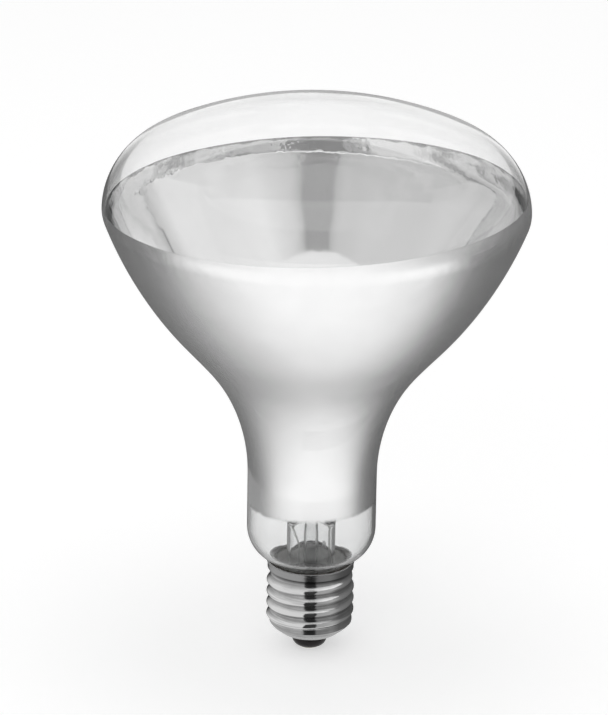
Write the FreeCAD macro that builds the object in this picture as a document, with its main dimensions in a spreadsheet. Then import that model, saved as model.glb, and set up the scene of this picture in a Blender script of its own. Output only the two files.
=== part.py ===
import FreeCAD, Part
import math
import os
from collections import namedtuple

import Sketcher
from FreeCAD import Placement, Rotation, Vector

# Infrared reflector lamp with a clear face, a silvered bowl and a screw cap.
# The lamp's axis is Z. Heights are measured up the axis from the flat of the centre contact.

# Driving dimensions, in millimetres, degrees and counts
SIZES = {
    # Glass bulb, outside
    "bulb_diameter": 125.0,
    "overall_length": 169.0,
    "face_height": 30.5,
    "rim_radius": 8.2,
    "shoulder_radius": 22.3,
    "crown_radius": 117.0,
    "bowl_radius": 119.5,
    "flare_radius": 54.5,
    "neck_diameter": 38.4,
    "neck_length": 16.5,
    "neck_rise": 11.0,
    "neck_shoulder_radius": 11.0,
    "seal_diameter": 22.0,
    "seal_fillet_radius": 3.0,
    "seal_depth": 8.1,
    "glass_wall": 1.0,
    # Silvering on the inside of the bowl
    "film_thickness": 0.15,
    "film_gap": 0.08,
    "film_rim_rise": 2.9,
    "film_neck_drop": 9.0,
    "film_tilt": 1.95,
    "film_trim": 3.5,
    # Glass stem
    "stem_diameter": 14.4,
    "stem_wall": 1.0,
    "stem_length": 19.0,
    "stem_bore_taper": 3.5,
    "stem_bore_end_diameter": 9.0,
    "pinch_shoulder_height": 7.5,
    "pinch_height": 7.5,
    "pinch_width": 17.0,
    "pinch_thickness": 4.5,
    "exhaust_diameter": 4.4,
    "exhaust_wall": 0.6,
    "exhaust_drop": 5.0,
    # Glass rod with the button that holds the filament hooks
    "rod_diameter": 3.2,
    "rod_length": 23.0,
    "button_diameter": 6.4,
    "button_height": 4.0,
    # Filament and its hooks
    "filament_rise": 7.0,
    "filament_ring_radius": 14.0,
    "filament_coil_diameter": 1.4,
    "filament_tail": 1.6,
    "hook_count": 5,
    "hook_spacing": 51.0,
    "hook_wire_diameter": 0.4,
    "hook_root": 1.4,
    "hook_bend": 3.0,
    "hook_clearance": 0.15,
    "hook_loop_turn": 250.0,
    # Lead wires
    "lead_spacing": 11.0,
    "inner_lead_diameter": 1.0,
    "inner_lead_straight": 3.0,
    "inner_lead_bend": 4.0,
    "inner_lead_slope": 62.0,
    "inner_lead_clearance": 0.4,
    "inner_lead_loop_turn": 230.0,
    "seal_wire_diameter": 0.8,
    "seal_wire_inset": 0.5,
    "outer_lead_diameter": 0.5,
    "outer_lead_bend": 12.0,
    "contact_lead_offset": 3.5,
    "contact_lead_bend_rise": 1.0,
    "contact_lead_low_bend": 3.0,
    "contact_lead_low_drop": 6.5,
    "contact_lead_end": 0.7,
    "rim_lead_drop": 1.6,
    "rim_lead_bend": 1.4,
    "rim_lead_seal_gap": 0.05,
    "rim_lead_rim_gap": 0.25,
    "rim_lead_step_radius": 1.2,
    "rim_lead_step_drop": 0.2,
    "rim_lead_top_drop": 0.1,
    # Screw cap
    "cap_height": 28.1,
    "cap_rim_diameter": 25.8,
    "cap_lip_height": 2.3,
    "cap_band_height": 2.9,
    "cap_wall": 0.4,
    "cap_bottom": 3.7,
    "cap_hole_diameter": 10.2,
    "cap_dome_height": 4.6,
    "cap_dome_radius": 15.0,
    "thread_major_diameter": 26.2,
    "thread_minor_diameter": 24.2,
    "thread_pitch": 3.629,
    "thread_crest_radius": 1.025,
    "thread_base_width": 3.0,
    "thread_root_sink": 0.15,
    "thread_rise": 5.0,
    "thread_length": 14.5,
    "cement_lip_rise": 1.5,
    "cement_lap": 1.0,
    # Insulator, contact and solder
    "insulator_bottom": 0.35,
    "insulator_bulge_radius": 2.6,
    "insulator_core": 3.6,
    "contact_diameter": 6.2,
    "contact_thickness": 0.7,
    "contact_edge_radius": 0.25,
    "contact_stem_diameter": 3.4,
    "contact_stem_top": 3.4,
    "contact_hole_diameter": 1.8,
    "contact_solder_top": 2.2,
    "rim_solder_diameter": 2.2,
}

DOC = FreeCAD.newDocument("heat_lamp_bulb")
SHEET = DOC.addObject("Spreadsheet::Sheet", "Sizes")
for row, (alias, amount) in enumerate(SIZES.items(), start=1):
    SHEET.set(f"A{row}", alias)
    SHEET.set(f"B{row}", str(amount))
    SHEET.setAlias(f"B{row}", alias)
DOC.recompute()

FULL_TURN = 360.0
START, END, CENTRE = "start", "end", "centre"
Edge = namedtuple("Edge", "index start end centre")
Corner = namedtuple("Corner", "x y bend left", defaults=(None, True))


class Size:
    """A number together with the spreadsheet formula that drives it."""

    def __init__(self, value, formula):
        self.value = value
        self.formula = formula

    def __add__(self, other):
        return Size(self.value + number(other), f"({self.formula} + {text(other)})")

    def __sub__(self, other):
        return Size(self.value - number(other), f"({self.formula} - {text(other)})")

    def __mul__(self, other):
        return Size(self.value * number(other), f"({self.formula} * {text(other)})")

    def __truediv__(self, other):
        return Size(self.value / number(other), f"({self.formula} / {text(other)})")

    def __neg__(self):
        return Size(-self.value, f"(-{self.formula})")


def number(item):
    return item.value if isinstance(item, Size) else item


def text(item):
    return item.formula if isinstance(item, Size) else repr(item)


def size(alias):
    return Size(SIZES[alias], f"Sizes.{alias}")


def half(alias):
    return size(alias) / 2


def root(item):
    return Size(math.sqrt(item.value), f"sqrt({item.formula})")


ZERO = Size(0.0, "0")

# Heights up the axis, each worked out from what it stands on
CAP_TOP = size("cap_height")
CAP_LIP = CAP_TOP - size("cap_lip_height")
CAP_BAND = CAP_TOP - size("cap_band_height")
CAP_DOME_TOP = size("cap_bottom") + size("cap_dome_height")
THREAD_START = size("cap_bottom") + size("thread_rise")
SEAL_BOTTOM = CAP_TOP - size("seal_depth")
NECK_BOTTOM = CAP_TOP + size("neck_rise")
NECK_TOP = NECK_BOTTOM + size("neck_length")
RIM_HEIGHT = size("overall_length") - size("face_height")
FILM_TOP = RIM_HEIGHT + size("film_rim_rise")
FILM_BOTTOM = NECK_TOP - size("film_neck_drop")
STEM_TOP = SEAL_BOTTOM + size("stem_length")
STEM_BORE_TOP = STEM_TOP + size("stem_bore_taper")
PINCH_BOTTOM = STEM_TOP + size("pinch_shoulder_height")
PINCH_TOP = PINCH_BOTTOM + size("pinch_height")
SEAL_WIRE_BOTTOM = STEM_BORE_TOP + size("seal_wire_inset")
BUTTON_MIDDLE = PINCH_TOP + size("rod_length")
FILAMENT_HEIGHT = BUTTON_MIDDLE + size("filament_rise")


class Drawing:
    """A sketch on one of its body's origin planes, with each dimension bound to the sheet."""

    def __init__(self, body, name, plane="XZ_Plane", lift=None):
        self.sketch = body.newObject("Sketcher::SketchObject", name)
        self.sketch.AttachmentSupport = [(origin_part(body, plane), "")]
        self.sketch.MapMode = "FlatFace"
        if lift is not None:
            self.sketch.setExpression("AttachmentOffset.Base.z", lift.formula)

    def line(self, start, end):
        index = self.sketch.addGeometry(Part.LineSegment(Vector(*start), Vector(*end)), False)
        return Edge(index, 1, 2, None)

    def arc(self, centre, start, end, left=True):
        """Arc about centre, turning left or right on the way from start to end."""
        first, last = (start, end) if left else (end, start)
        begin = math.atan2(first[1] - centre[1], first[0] - centre[0])
        finish = math.atan2(last[1] - centre[1], last[0] - centre[0])
        if finish <= begin:
            finish += 2 * math.pi
        circle = Part.Circle(Vector(*centre), Vector(0, 0, 1), math.dist(centre, start))
        index = self.sketch.addGeometry(Part.ArcOfCircle(circle, begin, finish), False)
        return Edge(index, 1, 2, 3) if left else Edge(index, 2, 1, 3)

    def circle(self, x, y, radius):
        """Full circle with its centre and radius bound."""
        shape = Part.Circle(Vector(x.value, y.value), Vector(0, 0, 1), radius.value)
        edge = Edge(self.sketch.addGeometry(shape, False), None, None, 3)
        self.radius(edge, radius)
        self.place(edge, CENTRE, x, y)
        return edge

    def rule(self, *terms):
        return self.sketch.addConstraint(Sketcher.Constraint(*terms))

    def bound(self, terms, item):
        index = self.rule(*terms, item.value)
        self.sketch.setExpression(f"Constraints[{index}]", item.formula)

    def meet(self, first, second):
        self.rule("Coincident", first.index, first.end, second.index, second.start)

    def flow(self, first, second):
        """Join two edges end to start, tangent to each other."""
        self.rule("Tangent", first.index, first.end, second.index, second.start)

    def radius(self, edge, item):
        self.bound(("Radius", edge.index), item)

    def set_x(self, edge, point, item):
        self._offset("DistanceX", -2, edge.index, getattr(edge, point), item)

    def set_y(self, edge, point, item):
        self._offset("DistanceY", -1, edge.index, getattr(edge, point), item)

    def place(self, edge, point, x, y):
        self.set_x(edge, point, x)
        self.set_y(edge, point, y)

    def _offset(self, kind, axis, index, position, item):
        if item.formula == ZERO.formula:
            self.rule("PointOnObject", index, position, axis)
        elif item.value < 0:
            self.bound((kind, index, position, -1, 1), -item)
        else:
            self.bound((kind, -1, 1, index, position), item)

    def outline(self, corners):
        """Closed outline through corners whose places, and bend radii between them, are bound."""
        edges = []
        for here, there in zip(corners, corners[1:] + corners[:1]):
            start = (here.x.value, here.y.value)
            end = (there.x.value, there.y.value)
            if here.bend is None:
                edges.append(self.line(start, end))
                continue
            chord = math.dist(start, end)
            rise = math.sqrt(max(here.bend.value ** 2 - chord ** 2 / 4, 0.0)) / chord
            side = 1 if here.left else -1
            centre = (
                (start[0] + end[0]) / 2 - side * rise * (end[1] - start[1]),
                (start[1] + end[1]) / 2 + side * rise * (end[0] - start[0]),
            )
            edges.append(self.arc(centre, start, end, here.left))
        for first, second in zip(edges, edges[1:] + edges[:1]):
            self.meet(first, second)
        for edge, corner in zip(edges, corners):
            self.place(edge, START, corner.x, corner.y)
            if corner.bend is not None:
                self.radius(edge, corner.bend)
        return edges


def new_body(name):
    return DOC.addObject("PartDesign::Body", name)


def origin_part(body, role):
    return next(item for item in body.Origin.OriginFeatures if item.Role == role)


def revolve(body, drawing, name, kind="Revolution"):
    feature = body.newObject(f"PartDesign::{kind}", name)
    feature.Profile = drawing.sketch
    feature.ReferenceAxis = (drawing.sketch, ["V_Axis"])
    feature.Angle = FULL_TURN
    return feature


def sweep(body, section, path, name):
    feature = body.newObject("PartDesign::AdditivePipe", name)
    feature.Profile = section.sketch
    feature.Spine = (path.sketch, [])
    return feature


def pad(body, drawing, length, name, kind="Pad"):
    feature = body.newObject(f"PartDesign::{kind}", name)
    feature.Profile = drawing.sketch
    feature.setExpression("Length", length.formula)
    return feature


def turn_about_axis(body, angle):
    body.Placement = Placement(Vector(0, 0, 0), Rotation(Vector(0, 0, 1), angle))


def crossing(first, first_radius, second, second_radius, side):
    """Where two circles cross, on the left (side 1) or right (side -1) from first to second."""
    along = (second[0] - first[0], second[1] - first[1])
    gap = math.hypot(*along)
    reach = (first_radius ** 2 - second_radius ** 2 + gap ** 2) / (2 * gap)
    rise = math.sqrt(max(first_radius ** 2 - reach ** 2, 0.0))
    return (
        first[0] + (reach * along[0] - side * rise * along[1]) / gap,
        first[1] + (reach * along[1] + side * rise * along[0]) / gap,
    )


def toward(centre, target, distance):
    """The point at a distance from centre, on the line to target."""
    gap = math.dist(centre, target)
    return tuple(c + (t - c) * distance / gap for c, t in zip(centre, target))


class BulbLine:
    """The bulb's meridian, moved inward by an inset, as arcs that flow into each other.

    Both faces of the glass and of the silvering are drawn from it. The centres of the arcs
    are the same for every inset, so the walls are even all the way round.
    """

    def __init__(self, drawing, inset):
        self.drawing = drawing
        self.inset = inset
        self.seal_x = half("seal_diameter") - inset
        self.neck_x = half("neck_diameter") - inset
        self.seal_fillet = size("seal_fillet_radius") + inset
        self.neck_shoulder = size("neck_shoulder_radius") - inset
        self.flare = size("flare_radius") + inset
        self.bowl = size("bowl_radius") - inset
        self.rim = size("rim_radius") - inset
        self.shoulder = size("shoulder_radius") - inset
        self.crown = size("crown_radius") - inset
        self.rim_x = half("bulb_diameter") - size("rim_radius")
        self.crown_centre_y = size("overall_length") - size("crown_radius")
        self.find_centres()

    def find_centres(self):
        rim_radius = SIZES["rim_radius"]
        bowl_radius = SIZES["bowl_radius"]
        shoulder_radius = SIZES["shoulder_radius"]
        self.flare_at = (SIZES["neck_diameter"] / 2 + SIZES["flare_radius"], NECK_TOP.value)
        self.rim_at = (self.rim_x.value, RIM_HEIGHT.value)
        self.bowl_at = crossing(
            self.flare_at, SIZES["flare_radius"] + bowl_radius,
            self.rim_at, bowl_radius - rim_radius, 1)
        self.crown_at = (0.0, self.crown_centre_y.value)
        self.shoulder_at = crossing(
            self.rim_at, shoulder_radius - rim_radius,
            self.crown_at, SIZES["crown_radius"] - shoulder_radius, -1)
        self.neck_shoulder_at = (
            (SIZES["neck_diameter"] / 2) - SIZES["neck_shoulder_radius"], NECK_BOTTOM.value)
        fillet_x = SIZES["seal_diameter"] / 2 + SIZES["seal_fillet_radius"]
        fillet_gap = SIZES["neck_shoulder_radius"] + SIZES["seal_fillet_radius"]
        fillet_drop = math.sqrt(fillet_gap ** 2 - (fillet_x - self.neck_shoulder_at[0]) ** 2)
        self.fillet_at = (fillet_x, NECK_BOTTOM.value - fillet_drop)

    def lower(self):
        """Seal, fillet and shoulder, up to the foot of the neck."""
        draw = self.drawing
        seal_top = (self.seal_x.value, self.fillet_at[1])
        turn = toward(self.neck_shoulder_at, self.fillet_at, self.neck_shoulder.value)
        neck_foot = (self.neck_x.value, NECK_BOTTOM.value)
        seal = draw.line((self.seal_x.value, SEAL_BOTTOM.value), seal_top)
        fillet = draw.arc(self.fillet_at, seal_top, turn, left=False)
        shoulder = draw.arc(self.neck_shoulder_at, turn, neck_foot)
        draw.rule("Vertical", seal.index)
        draw.place(seal, START, self.seal_x, SEAL_BOTTOM)
        draw.flow(seal, fillet)
        draw.flow(fillet, shoulder)
        draw.radius(fillet, self.seal_fillet)
        draw.radius(shoulder, self.neck_shoulder)
        return [seal, fillet, shoulder]

    def bowl_line(self, foot):
        """Neck from a given height, then flare, bowl and rim."""
        draw = self.drawing
        neck_head = (self.neck_x.value, NECK_TOP.value)
        flare_end = toward(self.flare_at, self.bowl_at, self.flare.value)
        bowl_end = toward(self.bowl_at, self.rim_at, self.bowl.value)
        rim_end = toward(self.shoulder_at, self.rim_at, self.shoulder.value)
        neck = draw.line((self.neck_x.value, foot.value), neck_head)
        flare = draw.arc(self.flare_at, neck_head, flare_end, left=False)
        bowl = draw.arc(self.bowl_at, flare_end, bowl_end)
        rim = draw.arc(self.rim_at, bowl_end, rim_end)
        draw.rule("Vertical", neck.index)
        draw.place(neck, START, self.neck_x, foot)
        draw.set_y(neck, END, NECK_TOP)
        for first, second in ((neck, flare), (flare, bowl), (bowl, rim)):
            draw.flow(first, second)
        draw.radius(flare, self.flare)
        draw.radius(bowl, self.bowl)
        draw.radius(rim, self.rim)
        draw.place(rim, CENTRE, self.rim_x, RIM_HEIGHT)
        return [neck, flare, bowl, rim]

    def shoulder_line(self, rim, stop=None):
        """Shoulder above the rim: up to the crown, or cut short at a given height."""
        draw = self.drawing
        start = toward(self.shoulder_at, self.rim_at, self.shoulder.value)
        end = toward(self.crown_at, self.shoulder_at, self.crown.value)
        if stop is not None:
            rise = stop.value - self.shoulder_at[1]
            end = (self.shoulder_at[0] + math.sqrt(self.shoulder.value ** 2 - rise ** 2), stop.value)
        shoulder = draw.arc(self.shoulder_at, start, end)
        draw.flow(rim, shoulder)
        draw.radius(shoulder, self.shoulder)
        return shoulder

    def crown_line(self, shoulder):
        draw = self.drawing
        start = toward(self.crown_at, self.shoulder_at, self.crown.value)
        crown = draw.arc(self.crown_at, start, (0.0, self.crown_at[1] + self.crown.value))
        draw.flow(shoulder, crown)
        draw.radius(crown, self.crown)
        draw.place(crown, CENTRE, ZERO, self.crown_centre_y)
        draw.set_x(crown, END, ZERO)
        return crown

    def whole(self):
        """The full line from the seal up to the axis, returned as its first and last edges."""
        low = self.lower()
        high = self.bowl_line(NECK_BOTTOM)
        self.drawing.flow(low[-1], high[0])
        shoulder = self.shoulder_line(high[-1])
        return low[0], self.crown_line(shoulder)

    def silvered(self, foot, stop):
        """The line from the neck to just above the rim, returned as its first and last edges.

        The shoulder's centre is fixed here, because no crown holds it.
        """
        edges = self.bowl_line(foot)
        shoulder = self.shoulder_line(edges[-1], stop)
        self.drawing.set_y(shoulder, END, stop)
        return edges[0], shoulder


def close_ends(draw, outer, inner):
    """Straight edges between the two lines' first ends and between their last ends."""
    for first, second, ends in ((outer[0], inner[0], START), (outer[1], inner[1], END)):
        points = [draw.sketch.getPoint(edge.index, getattr(edge, ends)) for edge in (first, second)]
        joint = draw.line((points[0].x, points[0].y), (points[1].x, points[1].y))
        draw.rule("Coincident", joint.index, joint.start, first.index, getattr(first, ends))
        draw.rule("Coincident", joint.index, joint.end, second.index, getattr(second, ends))


def glass_envelope():
    body = new_body("glass_envelope")
    draw = Drawing(body, "envelope_wall")
    outer = BulbLine(draw, ZERO).whole()
    inner = BulbLine(draw, size("glass_wall")).whole()
    close_ends(draw, outer, inner)
    revolve(body, draw, "blown_glass")
    return body


def reflector_coating():
    """Aluminium film on the inside of the bowl, with both of its edges in slanting planes."""
    body = new_body("reflector_coating")
    draw = Drawing(body, "film_section")
    trim = size("film_trim")
    foot = FILM_BOTTOM - trim
    stop = FILM_TOP + trim
    outside = size("glass_wall") + size("film_gap")
    inside = outside + size("film_thickness")
    outer = BulbLine(draw, outside).silvered(foot, stop)
    inner = BulbLine(draw, inside).silvered(foot, stop)
    close_ends(draw, outer, inner)
    revolve(body, draw, "film")
    DOC.recompute()
    reach = half("bulb_diameter")
    lean = reach * Size(math.tan(math.radians(SIZES["film_tilt"])), "tan(Sizes.film_tilt)")
    waste = Drawing(body, "film_edges")
    for edge, beyond in ((FILM_TOP, trim * 2), (FILM_BOTTOM, -(trim * 2))):
        waste.outline([
            Corner(-reach, edge - lean),
            Corner(reach, edge + lean),
            Corner(reach, edge + beyond),
            Corner(-reach, edge + beyond),
        ])
    cut = body.newObject("PartDesign::Pocket", "trimmed_film")
    cut.Profile = waste.sketch
    cut.SideType = "Symmetric"
    cut.Type = "ThroughAll"
    return body


def wire_section(body, name, x, z, radius, plane="XY_Plane", y=ZERO):
    """Round section of a wire, on a plane lifted to where the wire starts."""
    draw = Drawing(body, name, plane, lift=z)
    draw.circle(x, y, radius)
    return draw


def stem_flare():
    """Glass tube, flared at its foot to meet the bulb's seal and pinched flat at its top."""
    body = new_body("stem_flare")
    seal_radius = half("seal_diameter")
    radius = half("stem_diameter")
    wall = size("stem_wall")
    seat = SEAL_BOTTOM
    foot = seat - wall
    trumpet = seal_radius - size("glass_wall") - radius
    solid = Drawing(body, "stem_outside")
    solid.outline([
        Corner(ZERO, foot),
        Corner(seal_radius, foot),
        Corner(seal_radius, seat),
        Corner(radius + trumpet, seat, trumpet, False),
        Corner(radius, seat + trumpet),
        Corner(radius, STEM_TOP),
        Corner(ZERO, STEM_TOP),
    ])
    revolve(body, solid, "flared_tube")
    DOC.recompute()

    pinch_end = half("pinch_thickness")
    pinch_x = half("pinch_width") - pinch_end
    diagonal = radius * math.sqrt(0.5)
    round_end = Drawing(body, "tube_end", "XY_Plane", lift=STEM_TOP)
    round_end.outline([
        Corner(diagonal, -diagonal, radius),
        Corner(diagonal, diagonal, radius),
        Corner(-diagonal, diagonal, radius),
        Corner(-diagonal, -diagonal, radius),
    ])
    flat_end = Drawing(body, "pinch_foot", "XY_Plane", lift=PINCH_BOTTOM)
    draw_pinch(flat_end, pinch_x, pinch_end)
    loft = body.newObject("PartDesign::AdditiveLoft", "pinch_shoulder")
    loft.Profile = round_end.sketch
    loft.Sections = [(flat_end.sketch, [""])]
    loft.Ruled = True
    DOC.recompute()
    press = Drawing(body, "pinch_section", "XY_Plane", lift=PINCH_BOTTOM)
    draw_pinch(press, pinch_x, pinch_end)
    pad(body, press, PINCH_TOP - PINCH_BOTTOM, "pinch")
    DOC.recompute()

    bore = Drawing(body, "stem_bore_section")
    bore.outline([
        Corner(ZERO, foot),
        Corner(radius + trumpet, foot, trumpet + wall, False),
        Corner(radius - wall, seat + trumpet),
        Corner(radius - wall, STEM_TOP),
        Corner(half("stem_bore_end_diameter"), STEM_BORE_TOP),
        Corner(ZERO, STEM_BORE_TOP),
    ])
    revolve(body, bore, "stem_bore", "Groove")
    DOC.recompute()
    holes = Drawing(body, "wire_holes_section", "XY_Plane", lift=PINCH_TOP)
    for x in (-half("lead_spacing"), half("lead_spacing")):
        holes.circle(x, ZERO, half("seal_wire_diameter"))
    pad(body, holes, PINCH_TOP - STEM_TOP, "wire_holes", "Pocket")
    return body


def draw_pinch(draw, end_x, end_radius):
    """Flat section with rounded ends. Its four corners match those of the tube's end."""
    x = end_x.value
    y = end_radius.value
    right = draw.arc((x, 0.0), (x, -y), (x, y))
    top = draw.line((x, y), (-x, y))
    left = draw.arc((-x, 0.0), (-x, y), (-x, -y))
    bottom = draw.line((-x, -y), (x, -y))
    for first, second in ((right, top), (top, left), (left, bottom), (bottom, right)):
        draw.flow(first, second)
    for edge, centre in ((right, end_x), (left, -end_x)):
        draw.place(edge, CENTRE, centre, ZERO)
        draw.radius(edge, end_radius)


def exhaust_tube():
    """Thin glass tube the lamp was emptied through, drawn off to a closed tip below."""
    body = new_body("exhaust_tube")
    outer = half("exhaust_diameter")
    wall = size("exhaust_wall")
    inner = outer - wall
    tip = SEAL_BOTTOM - size("exhaust_drop")
    top = STEM_BORE_TOP
    draw = Drawing(body, "exhaust_section")
    draw.outline([
        Corner(ZERO, tip, outer),
        Corner(outer, tip + outer),
        Corner(outer, top),
        Corner(inner, top),
        Corner(inner, tip + outer, inner, False),
        Corner(ZERO, tip + wall),
    ])
    revolve(body, draw, "drawn_tube")
    return body


def hook_angles():
    """Turn of each hook about the axis, spread evenly on the side away from the lead wires."""
    count = int(SIZES["hook_count"])
    middle = (count - 1) / 2
    return [180.0 + (step - middle) * SIZES["hook_spacing"] for step in range(count)]


def support_rod():
    """Glass rod on the pinch, with a melted button in which the hooks are set."""
    body = new_body("support_rod")
    radius = half("rod_diameter")
    bulge = half("button_height")
    widest = half("button_diameter")
    middle = BUTTON_MIDDLE
    centre = widest - bulge
    drop = root(bulge * bulge - (radius - centre) * (radius - centre))
    draw = Drawing(body, "rod_section")
    draw.outline([
        Corner(ZERO, PINCH_TOP),
        Corner(radius, PINCH_TOP),
        Corner(radius, middle - drop, bulge),
        Corner(widest, middle, bulge),
        Corner(centre, middle + bulge),
        Corner(ZERO, middle + bulge),
    ])
    revolve(body, draw, "rod_and_button")
    DOC.recompute()
    hole = wire_section(
        body, "hook_hole_section", ZERO, -size("hook_root"), half("hook_wire_diameter"), "XZ_Plane", middle)
    first_hole = pad(body, hole, widest, "hook_hole", "Pocket")
    DOC.recompute()
    ring = body.newObject("PartDesign::PolarPattern", "hook_holes")
    ring.Originals = [first_hole]
    ring.Axis = (origin_part(body, "Z_Axis"), [""])
    ring.Mode = "Extent"
    ring.setExpression("Angle", "Sizes.hook_spacing * (Sizes.hook_count - 1) * 1 deg")
    ring.setExpression("Occurrences", "Sizes.hook_count")
    body.Tip = ring
    turn_about_axis(body, hook_angles()[0])
    return body


def filament_coil():
    """The coiled tungsten wire as a tube of the coil's own diameter, bent to an open ring."""
    body = new_body("filament_coil")
    draw = Drawing(body, "coil_section", "YZ_Plane")
    draw.circle(size("filament_ring_radius"), FILAMENT_HEIGHT, half("filament_coil_diameter"))
    ring = revolve(body, draw, "coil_ring")
    ring.Midplane = True
    gap = half("lead_spacing") - size("filament_tail")
    ring.setExpression("Angle", f"360 deg - 2 * asin({(gap / size('filament_ring_radius')).formula})")
    turn_about_axis(body, 180.0)
    return body


def loop_round_coil(draw, centre, radius, turn):
    """Open loop about the coil, starting beside it on the outside and turning over the top."""
    angle = math.radians(SIZES[turn])
    start = (centre.value + radius.value, FILAMENT_HEIGHT.value)
    end = (
        centre.value + radius.value * math.cos(angle),
        FILAMENT_HEIGHT.value + radius.value * math.sin(angle),
    )
    loop = draw.arc((centre.value, FILAMENT_HEIGHT.value), start, end)
    draw.place(loop, CENTRE, centre, FILAMENT_HEIGHT)
    draw.radius(loop, radius)
    draw.set_x(loop, END, centre + radius * Size(math.cos(angle), f"cos(Sizes.{turn})"))
    return loop


def support_hook(name, angle):
    """Wire set in the button, bent up beside the coil and looped round it."""
    body = new_body(name)
    radius = half("hook_wire_diameter")
    loop_radius = half("filament_coil_diameter") + size("hook_clearance") + radius
    ring = size("filament_ring_radius")
    bend = SIZES["hook_bend"]
    level = BUTTON_MIDDLE.value
    upright_at = ring.value + loop_radius.value
    path = Drawing(body, name + "_path", "YZ_Plane")
    arm = path.line((SIZES["hook_root"], level), (upright_at - bend, level))
    corner = path.arc(
        (upright_at - bend, level + bend), (upright_at - bend, level), (upright_at, level + bend))
    upright = path.line((upright_at, level + bend), (upright_at, FILAMENT_HEIGHT.value))
    loop = loop_round_coil(path, ring, loop_radius, "hook_loop_turn")
    path.rule("Horizontal", arm.index)
    path.rule("Vertical", upright.index)
    path.place(arm, START, size("hook_root"), BUTTON_MIDDLE)
    path.radius(corner, size("hook_bend"))
    for first, second in ((arm, corner), (corner, upright), (upright, loop)):
        path.flow(first, second)
    section = wire_section(
        body, name + "_section", ZERO, -size("hook_root"), radius, "XZ_Plane", BUTTON_MIDDLE)
    sweep(body, section, path, name + "_wire")
    turn_about_axis(body, angle)
    return body


def inner_lead(name, side):
    """Nickel wire from the pinch to one end of the filament, hooked over the coil."""
    body = new_body(name)
    radius = half("inner_lead_diameter")
    loop_radius = half("filament_coil_diameter") + size("inner_lead_clearance") + radius
    ring = size("filament_ring_radius")
    across = half("lead_spacing")
    coil_at = root(ring * ring - across * across)
    bend = SIZES["inner_lead_bend"]
    straight = PINCH_TOP + size("inner_lead_straight")
    low = straight.value
    slope = math.radians(SIZES["inner_lead_slope"])
    upright_at = coil_at.value + loop_radius.value
    run = (upright_at - 2 * bend * (1 - math.cos(slope))) / math.sin(slope)
    high = low + 2 * bend * math.sin(slope) + run * math.cos(slope)
    turn_out = (bend - bend * math.cos(slope), low + bend * math.sin(slope))
    turn_up = (upright_at - bend + bend * math.cos(slope), high - bend * math.sin(slope))
    path = Drawing(body, name + "_path", "YZ_Plane", lift=across * side)
    rise = path.line((0.0, PINCH_TOP.value), (0.0, low))
    outward = path.arc((bend, low), (0.0, low), turn_out, left=False)
    arm = path.line(turn_out, turn_up)
    upward = path.arc((upright_at - bend, high), turn_up, (upright_at, high))
    upright = path.line((upright_at, high), (upright_at, FILAMENT_HEIGHT.value))
    loop = loop_round_coil(path, coil_at, loop_radius, "inner_lead_loop_turn")
    path.rule("Vertical", rise.index)
    path.rule("Vertical", upright.index)
    path.place(rise, START, ZERO, PINCH_TOP)
    path.set_y(rise, END, straight)
    path.radius(outward, size("inner_lead_bend"))
    path.radius(upward, size("inner_lead_bend"))
    lean = path.rule("Angle", arm.index, math.pi / 2 - slope)
    path.sketch.setExpression(f"Constraints[{lean}]", "90 deg - Sizes.inner_lead_slope * 1 deg")
    edges = (rise, outward, arm, upward, upright, loop)
    for first, second in zip(edges, edges[1:]):
        path.flow(first, second)
    section = wire_section(body, name + "_section", across * side, PINCH_TOP, radius)
    sweep(body, section, path, name + "_wire")
    return body


def seal_wire(name, side):
    """Copper-clad wire that carries the current through the pinch."""
    wire = DOC.addObject("Part::Cylinder", name)
    bottom = SEAL_WIRE_BOTTOM
    wire.setExpression("Radius", half("seal_wire_diameter").formula)
    wire.setExpression("Height", (PINCH_TOP - bottom).formula)
    wire.setExpression("Placement.Base.x", (half("lead_spacing") * side).formula)
    wire.setExpression("Placement.Base.z", bottom.formula)
    return wire


def offset_bend(path, x, y, shift, radius, down):
    """Two arcs that carry a wire sideways by shift, returned with the place where they end."""
    heading = -1 if down else 1
    turn = math.acos(1 - abs(shift) / (2 * radius.value))
    rise = heading * radius.value * math.sin(turn)
    sign = math.copysign(1, shift)
    first_left = (shift > 0) == down
    middle = (x + shift / 2, y + rise)
    end = (x + shift, y + 2 * rise)
    first = path.arc((x + sign * radius.value, y), (x, y), middle, first_left)
    second = path.arc((end[0] - sign * radius.value, end[1]), middle, end, not first_left)
    path.radius(first, radius)
    path.radius(second, radius)
    path.flow(first, second)
    return first, second, end


def contact_lead():
    """Copper wire from the pinch down past the exhaust tube to the centre contact."""
    name = "contact_lead"
    body = new_body(name)
    radius = half("outer_lead_diameter")
    top = SEAL_WIRE_BOTTOM
    at_top = -half("lead_spacing")
    beside = -size("contact_lead_offset")
    high = STEM_TOP + size("contact_lead_bend_rise")
    low = SEAL_BOTTOM - size("contact_lead_low_drop")
    path = Drawing(body, name + "_path")
    drop = path.line((at_top.value, top.value), (at_top.value, high.value))
    lean, settle, below = offset_bend(
        path, at_top.value, high.value, beside.value - at_top.value, size("outer_lead_bend"), True)
    run = path.line(below, (beside.value, low.value))
    turn_in, turn_down, foot = offset_bend(
        path, beside.value, low.value, -beside.value, size("contact_lead_low_bend"), True)
    end = path.line(foot, (0.0, SIZES["contact_lead_end"]))
    for edge in (drop, run, end):
        path.rule("Vertical", edge.index)
    path.place(drop, START, at_top, top)
    path.set_y(drop, END, high)
    path.set_x(run, START, beside)
    path.set_y(run, END, low)
    path.place(end, END, ZERO, size("contact_lead_end"))
    for first, second in ((drop, lean), (settle, run), (run, turn_in), (turn_down, end)):
        path.flow(first, second)
    section = wire_section(body, name + "_section", at_top, top, radius)
    sweep(body, section, path, name + "_wire")
    return body


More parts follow.
